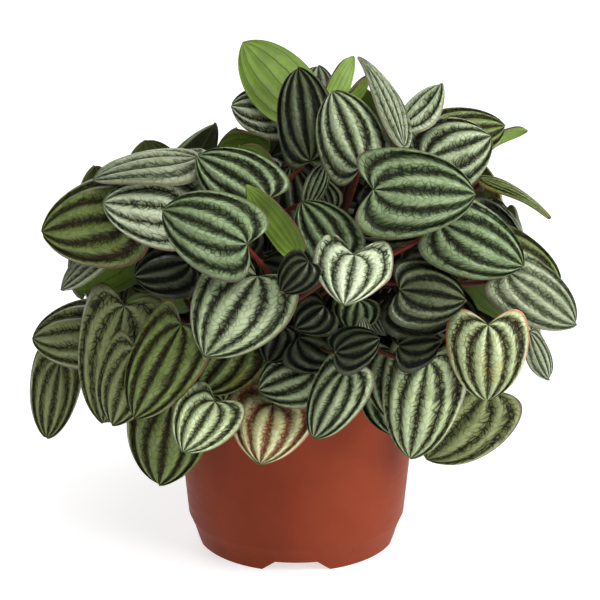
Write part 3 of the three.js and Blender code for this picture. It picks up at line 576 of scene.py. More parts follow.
def noise(place, scale, detail=2.0, roughness=0.5):
    inputs = {"Vector": place, "Scale": scale, "Detail": detail, "Roughness": roughness}
    return new_field(place.tree, "ShaderNodeTexNoise", inputs, "Fac")


def cells(place, scale, feature="F1"):
    """How far a point is from the middle, or the edge, of the cell that it is in."""
    inputs = {"Vector": place, "Scale": scale}
    return new_field(place.tree, "ShaderNodeTexVoronoi", inputs, "Distance", feature=feature)


def at(x, y, z):
    return new_field(x.tree, "ShaderNodeCombineXYZ", {0: x, 1: y, 2: z}, 0)


def bump(height, distance, strength=1.0):
    inputs = {"Height": height, "Distance": distance, "Strength": strength}
    return new_field(height.tree, "ShaderNodeBump", inputs, "Normal")


def own_place(tree):
    """Where a point of the surface is, in metres."""
    return new_field(tree, "ShaderNodeTexCoord", {}, "Object")


def finish_of(name, roughness, specular=0.5):
    """A new material: its node tree and its shader."""
    material = bpy.data.materials.new(name)
    material.use_nodes = True
    tree = material.node_tree
    shader = tree.nodes["Principled BSDF"]
    feed(shader, {"Roughness": roughness, "Specular IOR Level": specular})
    return material, tree, shader


VEIN_INPUTS = ("Width", "Feather", "Halo", "Seed")
VEIN_OUTPUTS = ("Vein", "Line", "Net", "Margin", "Depth")
SEED_SPREAD = 40.0                  # how far apart in the noise two leaves may lie


def vein_group():
    """Where a blade's veins are, from its own UV map: Vein is 1 in a vein, feathers out in
    strokes and runs on in hairs, Line is its thin middle, Net is a fine mosaic between the
    veins, Depth is how far away the next vein is, and Margin is the blade's edge."""
    tree = bpy.data.node_groups.new("veins", "ShaderNodeTree")
    for way, labels in (("INPUT", VEIN_INPUTS), ("OUTPUT", VEIN_OUTPUTS)):
        for label in labels:
            tree.interface.new_socket(label, in_out=way, socket_type="NodeSocketFloat")
    given = tree.nodes.new("NodeGroupInput")
    width, feather, darkness, seed = (Field(tree, given.outputs[label]) for label in VEIN_INPUTS)
    split = tree.nodes.new("ShaderNodeSeparateXYZ")
    feed(split, {0: new_field(tree, "ShaderNodeUVMap", {}, 0)})
    across = Field(tree, split.outputs[0]) * 2.0 - 1.0
    along = Field(tree, split.outputs[1])
    share = abs(across)

    # The veins wander, in long bends and in short kinks, and the midrib less than the others
    bends = noise(at(across * 1.6, along, seed), 2.4, 1.0)
    kinks = noise(at(across * 3.0, along * 7.0, seed), 2.0, 2.0)
    drift = bends * 0.16 + kinks * 0.07 - 0.115
    gap = abs(across + drift * 0.4)
    for vein in GROWN_VEINS[1:-1]:
        gap = calc("MINIMUM", gap, abs(share + drift - vein))

    # Strokes leave a vein at a slant, forwards to the tip, out of a softer and paler halo
    slant = along - gap * 0.35
    strokes = noise(at(across * 3.0, slant * 42.0, seed), 1.0, 4.0, 0.7)
    fine = noise(at(across * 7.0, slant * 80.0, seed), 1.0, 2.0, 0.6)
    width *= ramp(along, 0.0, 0.32, 1.5, 1.0) * ramp(along, 0.7, 1.0, 1.0, 0.55)
    edge = width + feather * ramp(strokes, 0.44, 0.7, 0.1, 4.2)
    core = ramp(gap, edge * 0.7, edge, 1.0, 0.0)
    halo = ramp(gap, width, width + ramp(fine, 0.35, 0.65, 0.06, 0.15), darkness, 0.0)

    # Hairs run where a noise passes through its middle value
    drawn_out = noise(at(across * 2.2, slant * 40.0, seed), 1.0, 1.0)
    hair = ramp(abs(drawn_out - 0.5), 0.005, 0.035, 1.0, 0.0) * ramp(gap, 0.04, 0.17, 0.9, 0.0)
    dark = calc("MAXIMUM", calc("MAXIMUM", core, halo), hair)

    # The mosaic: small swellings parted by thin lines, which are darkest beside a vein
    crooked = at(strokes * 0.5 + across * 7.0, slant * 17.0, seed)
    lines = ramp(cells(crooked, 1.0, "DISTANCE_TO_EDGE"), 0.02, 0.12, 1.0, 0.0)
    feed(tree.nodes.new("NodeGroupOutput"), {
        "Vein": dark * ramp(along, 0.84, 1.0, 1.0, 0.35),
        "Line": ramp(gap, 0.006, 0.018, 1.0, 0.0),
        "Net": lines * ramp(gap, 0.03, 0.17, 1.0, 0.45),
        "Margin": ramp(share, 0.935, 0.975),
        "Depth": gap,
    })
    return tree


def leaf_fields(tree, veins, weights):
    """In a leaf's material, what the vein group puts out, by name, and the leaf's own chance."""
    chance = new_field(tree, "ShaderNodeAttribute", {}, "Fac", attribute_name="chance")
    node = tree.nodes.new("ShaderNodeGroup")
    node.node_tree = veins
    feed(node, dict(zip(VEIN_INPUTS, (*weights, chance * SEED_SPREAD))))
    return {label: Field(tree, node.outputs[label]) for label in VEIN_OUTPUTS}, chance


# Upper faces: the silver of a swelling's top, the green beside it, the vein and the margin
TONES = {
    "silver": (srgb(204, 215, 184), srgb(168, 182, 142), srgb(36, 36, 24), srgb(112, 84, 66)),
    "mist": (srgb(160, 173, 137), srgb(118, 132, 92), srgb(28, 29, 18), srgb(92, 80, 58)),
    "green": (srgb(132, 150, 110), srgb(84, 104, 62), srgb(22, 25, 14), srgb(74, 70, 46)),
    "fresh": (srgb(182, 195, 152), srgb(140, 154, 106), srgb(36, 34, 22), srgb(96, 80, 58)),
    "dusk": (srgb(124, 134, 86), srgb(112, 120, 72), srgb(32, 31, 19), srgb(74, 54, 40)),
    "deep": (srgb(88, 98, 66), srgb(50, 58, 34), srgb(16, 17, 9), srgb(54, 48, 32)),
    # shade is a darker copy of deep: painted shade, for leaves deep in the foliage
    "shade": (srgb(62, 70, 44), srgb(36, 42, 24), srgb(12, 12, 7), srgb(38, 34, 22)),
    "pale": (srgb(152, 162, 132), srgb(124, 134, 102), srgb(62, 66, 46), srgb(98, 88, 66)),
    "olive": (srgb(112, 127, 66), srgb(80, 95, 42), srgb(38, 28, 18), srgb(88, 50, 36)),
    "cream": (srgb(184, 188, 142), srgb(162, 156, 106), srgb(112, 52, 38), srgb(140, 74, 58)),
    "blush": (srgb(178, 190, 146), srgb(140, 152, 100), srgb(42, 32, 20), srgb(156, 96, 66)),
    "lime": (srgb(112, 128, 70), srgb(84, 100, 50), srgb(44, 46, 26), srgb(94, 80, 46)),
}
# A vein's width, how far its strokes feather out, and how dark the halo beside it is
PLAIN_WEIGHTS = (0.012, 0.019, 0.68)
VEIN_WEIGHTS = {
    "silver": (0.011, 0.016, 0.52),
    "fresh": (0.009, 0.018, 0.55),
    "dusk": (0.007, 0.01, 0.36),
    "pale": (0.009, 0.014, 0.45),
    "cream": (0.008, 0.016, 0.5),
    "blush": (0.01, 0.02, 0.6),
}
# Patches of some leaves are turning yellow
YELLOWED = {"blush": srgb(176, 158, 74), "cream": srgb(178, 150, 92), "olive": srgb(118, 116, 44)}
# Undersides: their lighter and darker green, and their veins
UNDER_FACE = (srgb(106, 134, 44), srgb(88, 112, 34), srgb(62, 60, 26))
UNDER_DARK = (srgb(92, 108, 54), srgb(76, 88, 42), srgb(92, 42, 30))


def upper_finish(name, veins):
    """Waxy upper face: silver on the swellings, sunken dark veins with feathered strokes."""
    light, shade, dark, edge = TONES[name]
    material, tree, shader = finish_of(f"leaf_{name}", 0.5, specular=0.14)
    vein, chance = leaf_fields(tree, veins, VEIN_WEIGHTS.get(name, PLAIN_WEIGHTS))
    place = own_place(tree)
    clouds = noise(place, 80.0, 4.0, 0.65)
    speckle = noise(place, 900.0, 2.0, 0.7)

    silver = ramp(vein["Depth"], 0.04, 0.15) * ramp(clouds, 0.32, 0.6, 0.45, 1.0)
    colour = tint(silver, shade, light)
    colour = tint(ramp(speckle, 0.55, 0.8, 0.0, 0.14), colour, light)
    colour = tint(ramp(chance, 0.0, 1.0, 0.0, 0.2), colour, shade)
    colour = tint(vein["Net"] * 0.55, colour, shade)
    if name in YELLOWED:
        patches = noise(place, 42.0, 4.0, 0.65) + ramp(vein["Margin"], 0.0, 1.0, 0.0, 0.1)
        colour = tint(ramp(patches, 0.55, 0.68, 0.0, 0.7), colour, YELLOWED[name])
    colour = tint(vein["Net"] * ramp(vein["Depth"], 0.05, 0.2, 0.95, 0.34), colour, dark)
    colour = tint(vein["Vein"], colour, dark)
    colour = tint(vein["Margin"] * 0.85, colour, edge)
    height = ramp(vein["Depth"], 0.0, 0.12) - vein["Net"] * 0.4 + speckle * 0.1
    feed(shader, {
        "Base Color": colour,
        "Roughness": ramp(silver + speckle * 0.6, 0.1, 1.4, 0.6, 0.32),
        "Coat Weight": silver * ramp(speckle, 0.3, 0.7, 0.25, 0.5),
        "Coat Roughness": 0.3,
        "Normal": bump(height, 0.001),
    })
    return material


def under_finish(name, colours, veins):
    """Smooth paler underside, its veins only drawn."""
    light, shade, dark = colours
    material, tree, shader = finish_of(name, 0.48, specular=0.3)
    vein, _ = leaf_fields(tree, veins, PLAIN_WEIGHTS)
    place = own_place(tree)
    clouds = noise(place, 60.0, 3.0, 0.6)
    speckle = noise(place, 700.0, 2.0, 0.7)
    colour = tint(ramp(clouds, 0.35, 0.65), shade, light)
    colour = tint(vein["Net"] * 0.3, colour, shade)
    colour = tint(vein["Line"] * 0.75, colour, dark)
    colour = tint(ramp(speckle, 0.5, 0.8, 0.0, 0.12), colour, light)
    height = vein["Line"] + speckle * 0.3
    feed(shader, {"Base Color": colour, "Normal": bump(height, 0.0003, 0.5)})
    return material


def margin_finish():
    """The blade's thin edge, brown-red and in patches green."""
    material, tree, shader = finish_of("leaf_margin", 0.55, specular=0.12)
    patches = ramp(noise(own_place(tree), 70.0, 3.0), 0.38, 0.62)
    colour = tint(patches, srgb(74, 44, 34), srgb(88, 84, 50))
    feed(shader, {"Base Color": colour, "Roughness": ramp(patches, 0.0, 1.0, 0.5, 0.4)})
    return material


def stalk_finish(name, red, brown, root):
    """Juicy stalks, browner here and there, with fine streaks, and darker towards the middle of the
    plant: painted shade.
    """
    material, tree, shader = finish_of(name, 0.4, specular=0.15)
    place = own_place(tree)
    patches = ramp(noise(place, 28.0, 3.0), 0.42, 0.66)
    streaks = noise(place, 420.0, 3.0, 0.6)
    inputs = {0: place, 1: (0, 0, STEM_TOP * MM)}
    way = new_field(tree, "ShaderNodeVectorMath", inputs, "Value", operation="DISTANCE")
    colour = tint(patches, red, brown)
    colour = tint(ramp(streaks, 0.5, 0.75, 0.0, 0.25), colour, srgb(132, 76, 52))
    # Painted shade: darker towards the stems' tops in the plant's middle, where the foliage shades
    # them.
    colour = tint(ramp(way, 0.05, 0.115, 1.0, 0.0), colour, root)
    feed(shader, {
        "Base Color": colour,
        "Roughness": ramp(streaks, 0.3, 0.7, 0.3, 0.46),
        "Normal": bump(streaks, 0.0002, 0.5),
    })
    return material


def pot_finish():
    """Terracotta-coloured plastic: faint mottling, turned rings and a satin grain."""
    material, tree, shader = finish_of("terracotta_plastic", 0.48, specular=0.06)
    place = own_place(tree)
    flattened = new_field(tree, "ShaderNodeMapping", {"Vector": place, "Scale": (1, 1, 5)}, 0)
    clouds = noise(place, 22.0, 4.0, 0.6)
    rings = noise(flattened, 60.0, 3.0, 0.6)
    grain = noise(place, 1400.0, 2.0, 0.6)
    colour = tint(ramp(clouds, 0.35, 0.68), srgb(119, 49, 29), srgb(127, 55, 33))
    colour = tint(ramp(rings, 0.58, 0.75, 0.0, 0.07), colour, srgb(150, 68, 42))
    colour = tint(ramp(grain, 0.55, 0.8, 0.0, 0.2), colour, srgb(114, 42, 24))
    feed(shader, {
        "Base Color": colour,
        "Roughness": ramp(rings, 0.35, 0.7, 0.46, 0.54),
        "Normal": bump(grain * 0.5 + rings, 0.00006, 0.5),
    })
    return material


def soil_finish():
    """Dark crumbly potting soil."""
    material, tree, shader = finish_of("potting_soil", 0.95, specular=0.2)
    place = own_place(tree)
    clods = noise(place, 160.0, 6.0, 0.7)
    bits = cells(place, 420.0)
    colour = tint(ramp(clods, 0.35, 0.65), srgb(34, 25, 18), srgb(70, 52, 38))
    colour = tint(ramp(bits, 0.1, 0.4, 0.4, 0.0), colour, srgb(98, 76, 54))
    feed(shader, {
        "Base Color": colour,
        "Roughness": ramp(clods, 0.3, 0.7, 0.85, 1.0),
        "Normal": bump(clods, 0.002),
    })
    return material


# ---- Modelling helpers --------------------------------------------------------------------

def alone(piece):
    """Makes a piece the only one that is selected, and the active one."""
    bpy.ops.object.select_all(action="DESELECT")
    piece.select_set(True)
    bpy.context.view_layer.objects.active = piece


def apply_modifier(piece, name, kind, **settings):
    alone(piece)
    modifier = piece.modifiers.new(name, kind)
    for setting, value in settings.items():
        setattr(modifier, setting, value)
    bpy.ops.object.modifier_apply(modifier=name)


def named(name, *materials):
    """The active object, named, with these materials."""
    piece = bpy.context.object
    piece.name = piece.data.name = name
    piece.data.materials.clear()
    for material in materials:
        piece.data.materials.append(material)
    return piece


def settle_in_place(piece):
    """Leaves a piece's object at the origin, with its place in its mesh."""
    alone(piece)
    bpy.ops.object.transform_apply(location=True, rotation=True, scale=True)


def join(pieces, name):
    bpy.ops.object.select_all(action="DESELECT")
    for piece in pieces:
        piece.select_set(True)
    bpy.context.view_layer.objects.active = pieces[0]
    bpy.ops.object.join()
    pieces[0].name = pieces[0].data.name = name
    return pieces[0]


def hand_over(piece, slot, *nodes):
    """The piece rides on the plant and stands for CAD nodes, which are hidden; slot is not used."""
    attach(piece, "root")
    if nodes:
        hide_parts(*nodes)


def turned(name, outline, sides, material):
    """A round piece, capped at both ends: a ring that is extruded and widened or narrowed from
    point to point of its outline, (radius, height) each in mm."""
    points = [(radius * MM, height * MM) for radius, height in outline]
    radius, height = points[0]
    bpy.ops.object.select_all(action="DESELECT")
    bpy.ops.mesh.primitive_circle_add(vertices=sides, radius=radius, location=(0, 0, 0))
    piece = named(name, material)
    bpy.ops.object.mode_set(mode="EDIT")
    bpy.ops.mesh.select_all(action="SELECT")
    bpy.ops.transform.translate(value=(0, 0, height))
    bpy.ops.mesh.edge_face_add()
    for next_radius, next_height in points[1:]:
        bpy.ops.mesh.extrude_region_move(
            TRANSFORM_OT_translate={"value": (0, 0, next_height - height)})
        share = next_radius / radius
        bpy.ops.transform.resize(value=(share, share, 1), center_override=(0, 0, 0))
        radius, height = next_radius, next_height
    bpy.ops.mesh.select_all(action="SELECT")
    bpy.ops.mesh.normals_make_consistent(inside=False)
    bpy.ops.object.mode_set(mode="OBJECT")
    return piece


# ---- Leaves -------------------------------------------------------------------------------

BLADE_THICKNESS = 0.75 * MM
UNDER, MARGIN = 1, 2                # places in a blade's materials, after its upper face
MERGED = 0.02 * MM                  # points of foot and tip that are nearer become one
FINE_WIDTH = 20                     # from this width on, in mm, a blade has the finer grid
FINE_GRID = (40, 30)                # steps across and along
PLAIN_GRID = (24, 20)
FILLER_GRID = (20, 14)
STALK_RADII = (1.7, 1.15)           # where a stalk leaves the stem, and at its blade
THIN_RADII = (1.2, 0.8)
STEM_NODES = 6                      # rings on a stem


def set_chance(piece, value):
    """Stores a leaf's own random number, which its finish reads."""
    chance = piece.data.attributes.new("chance", "FLOAT", "POINT")
    chance.data.foreach_set("value", [value] * len(piece.data.vertices))


def grow_blade(name, row, grid, materials):
    """A flat grid, laid over the blade's form, closed at foot and tip, and given its thickness
    downwards. Its UV map runs from margin to margin and from foot to tip."""
    bpy.ops.object.select_all(action="DESELECT")
    bpy.ops.mesh.primitive_grid_add(x_subdivisions=grid[0], y_subdivisions=grid[1], size=1)
    blade = named(name, *materials)
    mesh = blade.data
    flat = np.empty(len(mesh.vertices) * 3)
    mesh.vertices.foreach_get("co", flat)
    flat = flat.reshape(-1, 3)
    u = np.clip(flat[:, 0] * 2, -1, 1)
    v = np.clip(flat[:, 1] + 0.5, 0, 1)
    points = blade_points(row, u, v, grown=True) * MM
    mesh.vertices.foreach_set("co", points.ravel())
    bpy.ops.object.mode_set(mode="EDIT")
    bpy.ops.mesh.select_all(action="SELECT")
    bpy.ops.mesh.remove_doubles(threshold=MERGED)
    bpy.ops.mesh.flip_normals()
    bpy.ops.object.mode_set(mode="OBJECT")
    set_chance(blade, drawn(row.index, 11))
    apply_modifier(blade, "thickness", "SOLIDIFY", thickness=BLADE_THICKNESS, offset=-1,
                   material_offset=UNDER, material_offset_rim=MARGIN)
    alone(blade)
    bpy.ops.object.shade_smooth_by_angle(angle=math.radians(50))
    return blade


def draw_stalks(name, curves, radii, material):
    """Round stalks along their middle lines, thinner towards the blades, as one piece."""
    bpy.ops.object.select_all(action="DESELECT")
    bpy.ops.curve.primitive_bezier_curve_add(location=(0, 0, 0))
    piece = bpy.context.object
    line = piece.data
    line.splines.clear()
    line.dimensions = "3D"
    line.bevel_depth = MM
    line.bevel_resolution = 2
    line.resolution_u = 14
    line.use_fill_caps = True
    for root, rise, near, end in curves:
        spline = line.splines.new("BEZIER")
        spline.bezier_points.add(1)
        first, last = spline.bezier_points
        for point in (first, last):
            point.handle_left_type = point.handle_right_type = "FREE"
        first.co, first.handle_right = root * MM, rise * MM
        first.handle_left = (2 * root - rise) * MM
        last.co, last.handle_left = end * MM, near * MM
        last.handle_right = (2 * end - near) * MM
        first.radius, last.radius = radii
    alone(piece)
    bpy.ops.object.convert(target="MESH")
    piece = named(name, material)
    bpy.ops.object.shade_smooth()
    return piece


def stem_piece(name, place, material):
    """A short fleshy stem with a ring at each node."""
    outline = [(0.5, STEM_BOTTOM)]
    step = (STEM_TOP - STEM_BOTTOM) / STEM_NODES
    for i in range(STEM_NODES):
        low = STEM_BOTTOM + step * i
        outline += [(STEM_RADIUS - 0.4, low + 0.5), (STEM_RADIUS - 0.9, low + 0.5 * step),
                    (STEM_RADIUS - 0.2, low + step - 1.2)]
    outline += [(STEM_RADIUS * 0.5, STEM_TOP), (0.5, STEM_TOP + 0.6)]
    piece = turned(name, outline, 20, material)
    piece.location = (place[0] * MM, place[1] * MM, 0)
    settle_in_place(piece)
    bpy.ops.object.shade_smooth()
    return piece


# ---- Leaves deeper in ---------------------------------------------------------------------

# Shaded leaves that the picture shows behind the outer ones, placed as the front leaves are
# Most wear the shade tone, painted shade; some stand before stalks in the dark middle as painted
# shade.
SHADED_LEAVES = [
    Leaf((400, 290), (466, 300), 9, 31, "deep", face=(0, 0.2)),
    Leaf((308, 262), (281, 292), 6, 19, "shade", face=(0, 0.2)),
    Leaf((396, 292), (462, 312), 26, 38, "shade", face=(0, 0.3)),
    Leaf((336, 352), (380, 338), 19, 23, "shade", face=(0, 0.5)),
    Leaf((324, 306), (295, 328), 28, 23, "shade", face=(0, 0.4)),
    Leaf((306, 276), (262, 262), 28, 30, "shade", face=(0, 0.4)),
    Leaf((298, 338), (336, 362), 28, 27, "shade", face=(0, 0.4)),
    Leaf((282, 326), (268, 362), 34, 25, "shade", face=(0, 0.3)),
    Leaf((190, 262), (134, 276), 40, 30, "shade", face=(-0.2, 0.4)),
    Leaf((398, 346), (441, 340), 32, 25, "shade", face=(0, 0.5)),
    Leaf((243, 336), (199, 392), 44, 34, "olive", face=(-0.2, 0.2)),
    Leaf((262, 338), (264, 386), 50, 26, "olive", face=(0, 0.2)),
    Leaf((345, 244), (384, 262), 40, 24, "shade", face=(0, 0.5)),
    Leaf((436, 300), (478, 330), 34, 26, "shade", face=(0.1, 0.3)),
    Leaf((352, 352), (372, 392), 36, 26, "shade", face=(0, 0.2)),
    Leaf((318, 252), (296, 292), 34, 26, "shade", face=(0, 0.3)),
]
SHADED_STEPS = [0, -3, 3, -6, 6, -9, 9, -12, 12, -16, 16, -20, 20]
FIRST_SHADED = 400                  # the number of the first, for its draws

# Fillers, which make the dome dense: some are set out over the picture, the rest all round the
# dome. Each kind: the most of them, how many places are tried, and their tones.
# The shade tone of the fillers is painted shade, for the inside of the dome.
PICTURE_FILLERS = (70, 3000, ["shade"])
ROUND_FILLERS = (150, 6000, ["shade", "deep", "green", "deep", "olive"])
FIRST_FILLER = 500
PICTURE_MIDDLE = (298, 262)
PICTURE_REACH = (225, 172)
FILLER_INSET = (14, 58)
ROUND_SHARE = (0.35, 0.7, 0.97)     # how far out: from, to on the front, and to on the back
FILLER_LENGTH = (28, 46)
FILLER_SLENDERNESS = (0.75, 0.95)   # width over length
FILLER_BEND = (26, 44)              # its arch and its curl, in degrees
FILLER_SWING = 2.2                  # radians, from side to side
TIP_DROP = 0.7                      # of one in the picture, whose tip is drawn downwards
PICTURE_FACING = ((-0.5, 0.5), (-0.1, 0.8))     # to the right, and up
ROUND_HEIGHTS = (-15, 85)           # degrees above the dome's middle
ROUND_SPREAD = 0.25                 # how far a hanging tip leans outwards
ROUND_FACING = 0.5                  # how far a face looks up
FILLER_CLEARANCE = 2.0
LOWEST_FILLER = 60
SIZE_MARGIN = 4                     # inside the part's own box
OUTLINE_STEPS = 90
OUTLINE_MARGIN = 5                  # pixels inside the front leaves' outline
HIDING_REACH = 4                    # pixels


def place_filler_in_picture(row, draw):
    """Somewhere in the picture, its tip away from the middle and down, facing the viewer."""
    turn, out = 2 * math.pi * draw[0], math.sqrt(draw[1])
    away = np.array([math.cos(turn), math.sin(turn)])
    pixel = np.array(PICTURE_MIDDLE) + away * out * PICTURE_REACH
    swing = turn + FILLER_SWING * (draw[2] - 0.5)
    reach = unit(np.array([math.cos(swing), math.sin(swing) + TIP_DROP]))
    half = row.size / MM_PER_PIXEL / 2
    depth = dome_depth(pixel) - mix(*FILLER_INSET, draw[4])
    rightward, up = PICTURE_FACING
    facing = TO_VIEWER + VIEW_RIGHT * mix(*rightward, draw[5]) + VIEW_UP * mix(*up, draw[6])
    orient(row, seen(pixel - reach * half, depth), seen(pixel + reach * half, depth), facing)


def place_filler_round(row, draw):
    """Somewhere in the dome, hanging and facing outwards."""
    height = math.radians(mix(*ROUND_HEIGHTS, draw[1]))
    outward, sideways, up = dome_ways(2 * math.pi * draw[0], height)
    radii = np.array([DOME_RADII[0], mix(DOME_RADII[1], BACK_RADII[1], outward[1] > 0),
                      mix(DOME_RADII[2], BACK_RADII[2], max(0, outward[1]) ** 1.5)])
    least, front, back = ROUND_SHARE
    most = mix(front, back, min(1, max(0, outward[1] * 3)))
    centre = DOME_CENTRE + outward * radii * mix(least, most, draw[2] ** 0.6)
    swing = FILLER_SWING * (draw[4] - 0.5)
    way = unit(sideways * math.sin(swing) - up * math.cos(swing) + outward * ROUND_SPREAD)
    foot = centre - way * row.size / 2
    orient(row, foot, foot + way * row.size, outward + UPWARD * ROUND_FACING)


def search_tree(points):
    tree = KDTree(len(points))
    for i, place in enumerate(points):
        tree.insert(place, i)
    tree.balance()
    return tree


class Crowd:
    """The points that blades and stalks take up already."""

    def __init__(self, taken):
        self.taken = taken
        self.tree = search_tree(np.concatenate(taken))

    def add(self, points):
        self.taken.append(points)
        self.tree = search_tree(np.concatenate(self.taken))

    def room(self, points):
        """How near the nearest of these points comes to those that are taken."""
        return min(self.tree.find(place)[2] for place in points)

    def meets(self, points):
        return any(self.tree.find(place)[2] < FILLER_CLEARANCE for place in points)


def in_picture(points):
    """Where the picture shows points: pixels to the right of its middle and upwards."""
    towards = (points - AIM) @ TO_VIEWER
    scale = MM_PER_PIXEL * (1 - towards / VIEW_DISTANCE)
    return np.stack([(points - AIM) @ VIEW_RIGHT / scale, (points - AIM) @ VIEW_UP / scale], 1)


def from_middle(points):
    """How far round the foliage's middle points are, as a step, and how far out, in pixels."""
    half = PICTURE_WIDTH / 2
    seen_at = in_picture(points) - [PICTURE_MIDDLE[0] - half, half - PICTURE_MIDDLE[1]]
    turn = np.arctan2(seen_at[:, 1], seen_at[:, 0]) / (2 * math.pi) % 1
    return (turn * OUTLINE_STEPS).astype(int) % OUTLINE_STEPS, np.linalg.norm(seen_at, axis=1)


class Cover:
    """The front leaves as the picture shows them, which a filler stays behind."""

    def __init__(self, rows):
        points = np.concatenate([row.samples for row in rows])
        self.nearness = (points - AIM) @ TO_VIEWER
        self.tree = search_tree(self.flat(points))
        reach = np.zeros(OUTLINE_STEPS)
        for row in rows:
            step, out = from_middle(row.samples)
            np.maximum.at(reach, step, out)
        self.outline = np.minimum(reach, np.minimum(np.roll(reach, 1), np.roll(reach, -1)))

    @staticmethod
    def flat(points):
        return np.column_stack([in_picture(points), np.zeros(len(points))])

    def holds(self, points):
        """Whether points are within the outline."""
        step, out = from_middle(points)
        return bool((out <= self.outline[step] - OUTLINE_MARGIN).all())

    def is_hidden_by(self, points):
        """Whether any point stands before a front leaf."""
        for place, near in zip(self.flat(points), (points - AIM) @ TO_VIEWER):
            for _, i, _ in self.tree.find_range(place, HIDING_REACH):
                if near > self.nearness[i]:
                    return True
        return False


def in_size(points):
    """Whether points are well inside the part's own box."""
    low, high = (np.array(corner) / MM for corner in cad_box)
    return bool((points > low + SIZE_MARGIN).all() and (points < high - SIZE_MARGIN).all())


def fits(row, crowd, cover):
    """Whether a filler is clear of blades, stalks and pot, and behind the front leaves."""
    if not in_size(row.samples) or row.samples[:, 2].min() < LOWEST_FILLER or near_pot(row):
        return False
    if not cover.holds(row.samples) or crowd.meets(row.samples):
        return False
    return not cover.is_hidden_by(row.samples[::3])


def place_shaded(row, crowd):
    """Puts a shaded leaf as near its inset as it has room, or else where it has most."""
    rooms = []
    for step in SHADED_STEPS:
        place_front(row, step)
        rooms.append(crowd.room(row.samples))
        if rooms[-1] > FILLER_CLEARANCE:
            return
    place_front(row, SHADED_STEPS[rooms.index(max(rooms))])


def numbered(row, index, draw):
    row.index, row.phase = index, 2 * math.pi * draw[3]
    return row


def root_on_stem(row, stems, draw):
    """Gives a leaf deeper in its stem and its stalk."""
    row.stem = min(range(len(stems)), key=lambda i: stem_gap(row, stems[i]))
    row.root_drop = TOP_NODE_DROP + NODE_SPAN * draw[2]
    row.stalk = stalk_curve(row, stems[row.stem], mix(-8, 8, draw[6]), mix(0, 10, draw[7]))


def inner_leaves(rows, stems):
    """Places the shaded leaves, and then the fillers by a seeded rule."""
    cover = Cover([row for row in rows if row.foot])
    crowd = Crowd([row.samples for row in rows] + [along_curve(row.stalk, 40) for row in rows])
    found = []

    def keep(row, draw):
        root_on_stem(row, stems, draw)
        crowd.add(row.samples)
        found.append(row)

    for index, row in enumerate(SHADED_LEAVES, start=FIRST_SHADED):
        draw = [drawn(index, kind) for kind in range(8)]
        place_shaded(numbered(row, index, draw), crowd)
        keep(row, draw)

    first = FIRST_FILLER
    for place, (wanted, tries, tones) in ((place_filler_in_picture, PICTURE_FILLERS),
                                          (place_filler_round, ROUND_FILLERS)):
        limit = len(found) + wanted
        for index in range(first, first + tries):
            if len(found) == limit:
                break
            draw = [drawn(index, kind) for kind in range(8)]
            size = mix(*FILLER_LENGTH, draw[3])
            row = Leaf(None, None, 0, size * mix(*FILLER_SLENDERNESS, draw[5]),
                       tones[index % len(tones)],
                       arch=mix(*FILLER_BEND, draw[6]), curl=mix(*FILLER_BEND, draw[7]))
            row.size = size
            place(numbered(row, index, draw), draw)
            if fits(row, crowd, cover):
                keep(row, draw)
        first += tries
    return found


# ---- Pot and soil -------------------------------------------------------------------------

FOOT_RADIUS = 50
FOOT_TOP_RADIUS = 51.4
FOOT_RING_HEIGHT = 6.5
SHOULDER_RADIUS = 54.4
SHOULDER_HEIGHT = 13.5
NECK_RADIUS = 62.8
RIM_BOTTOM = 99
FLOOR_Z = 6                         # underside of the raised floor
WALL = 1.6
NOTCH_BOTTOM_WIDTH = 34
NOTCH_TOP_WIDTH = 21
NOTCH_HEIGHT = 5.3
NOTCH_DEPTH = 30
DRAIN_RADIUS = 4
DRAIN_RING_RADIUS = 30
DRAIN_COUNT = 6
DRAIN_SIDES = 24
POT_SIDES = 144
WALL_BANDS = (40, 70)               # heights at which the wall is divided
LIP_ROUND = 0.9
SOFT_EDGE = 0.45
POLE = 0.4                          # radius of the small facet in the middle of the floor


def wall_radius(z):
    return mix(SHOULDER_RADIUS, NECK_RADIUS, (z - SHOULDER_HEIGHT) / (RIM_BOTTOM - SHOULDER_HEIGHT))


def notch_cutters():
    """Four wedges that stand across the foot ring, and six pins through the floor, as one."""
    cutters = []
    for i in range(4):
        turn = math.pi / 2 * i
        bpy.ops.object.select_all(action="DESELECT")
        bpy.ops.mesh.primitive_cube_add(size=1)
        wedge = bpy.context.object
        flare = NOTCH_BOTTOM_WIDTH / NOTCH_TOP_WIDTH
        for vertex in wedge.data.vertices:
            wide = NOTCH_TOP_WIDTH if vertex.co.z > 0 else NOTCH_TOP_WIDTH * (2 * flare - 1)
            vertex.co.x *= wide * MM
            vertex.co.y *= NOTCH_DEPTH * MM
            vertex.co.z *= 2 * NOTCH_HEIGHT * MM
        wedge.location = (math.sin(turn) * FOOT_RADIUS * MM, -math.cos(turn) * FOOT_RADIUS * MM, 0)
        wedge.rotation_euler = (0, 0, turn)
        settle_in_place(wedge)
        cutters.append(wedge)
    for i in range(DRAIN_COUNT):
        turn = 2 * math.pi * i / DRAIN_COUNT
        bpy.ops.object.select_all(action="DESELECT")
        bpy.ops.mesh.primitive_cylinder_add(
            vertices=DRAIN_SIDES, radius=DRAIN_RADIUS * MM, depth=6 * WALL * MM,
            location=(DRAIN_RING_RADIUS * math.cos(turn) * MM,
                      DRAIN_RING_RADIUS * math.sin(turn) * MM, FLOOR_Z * MM))
        pin = bpy.context.object
        settle_in_place(pin)
        cutters.append(pin)
    return join(cutters, "pot_cutters")


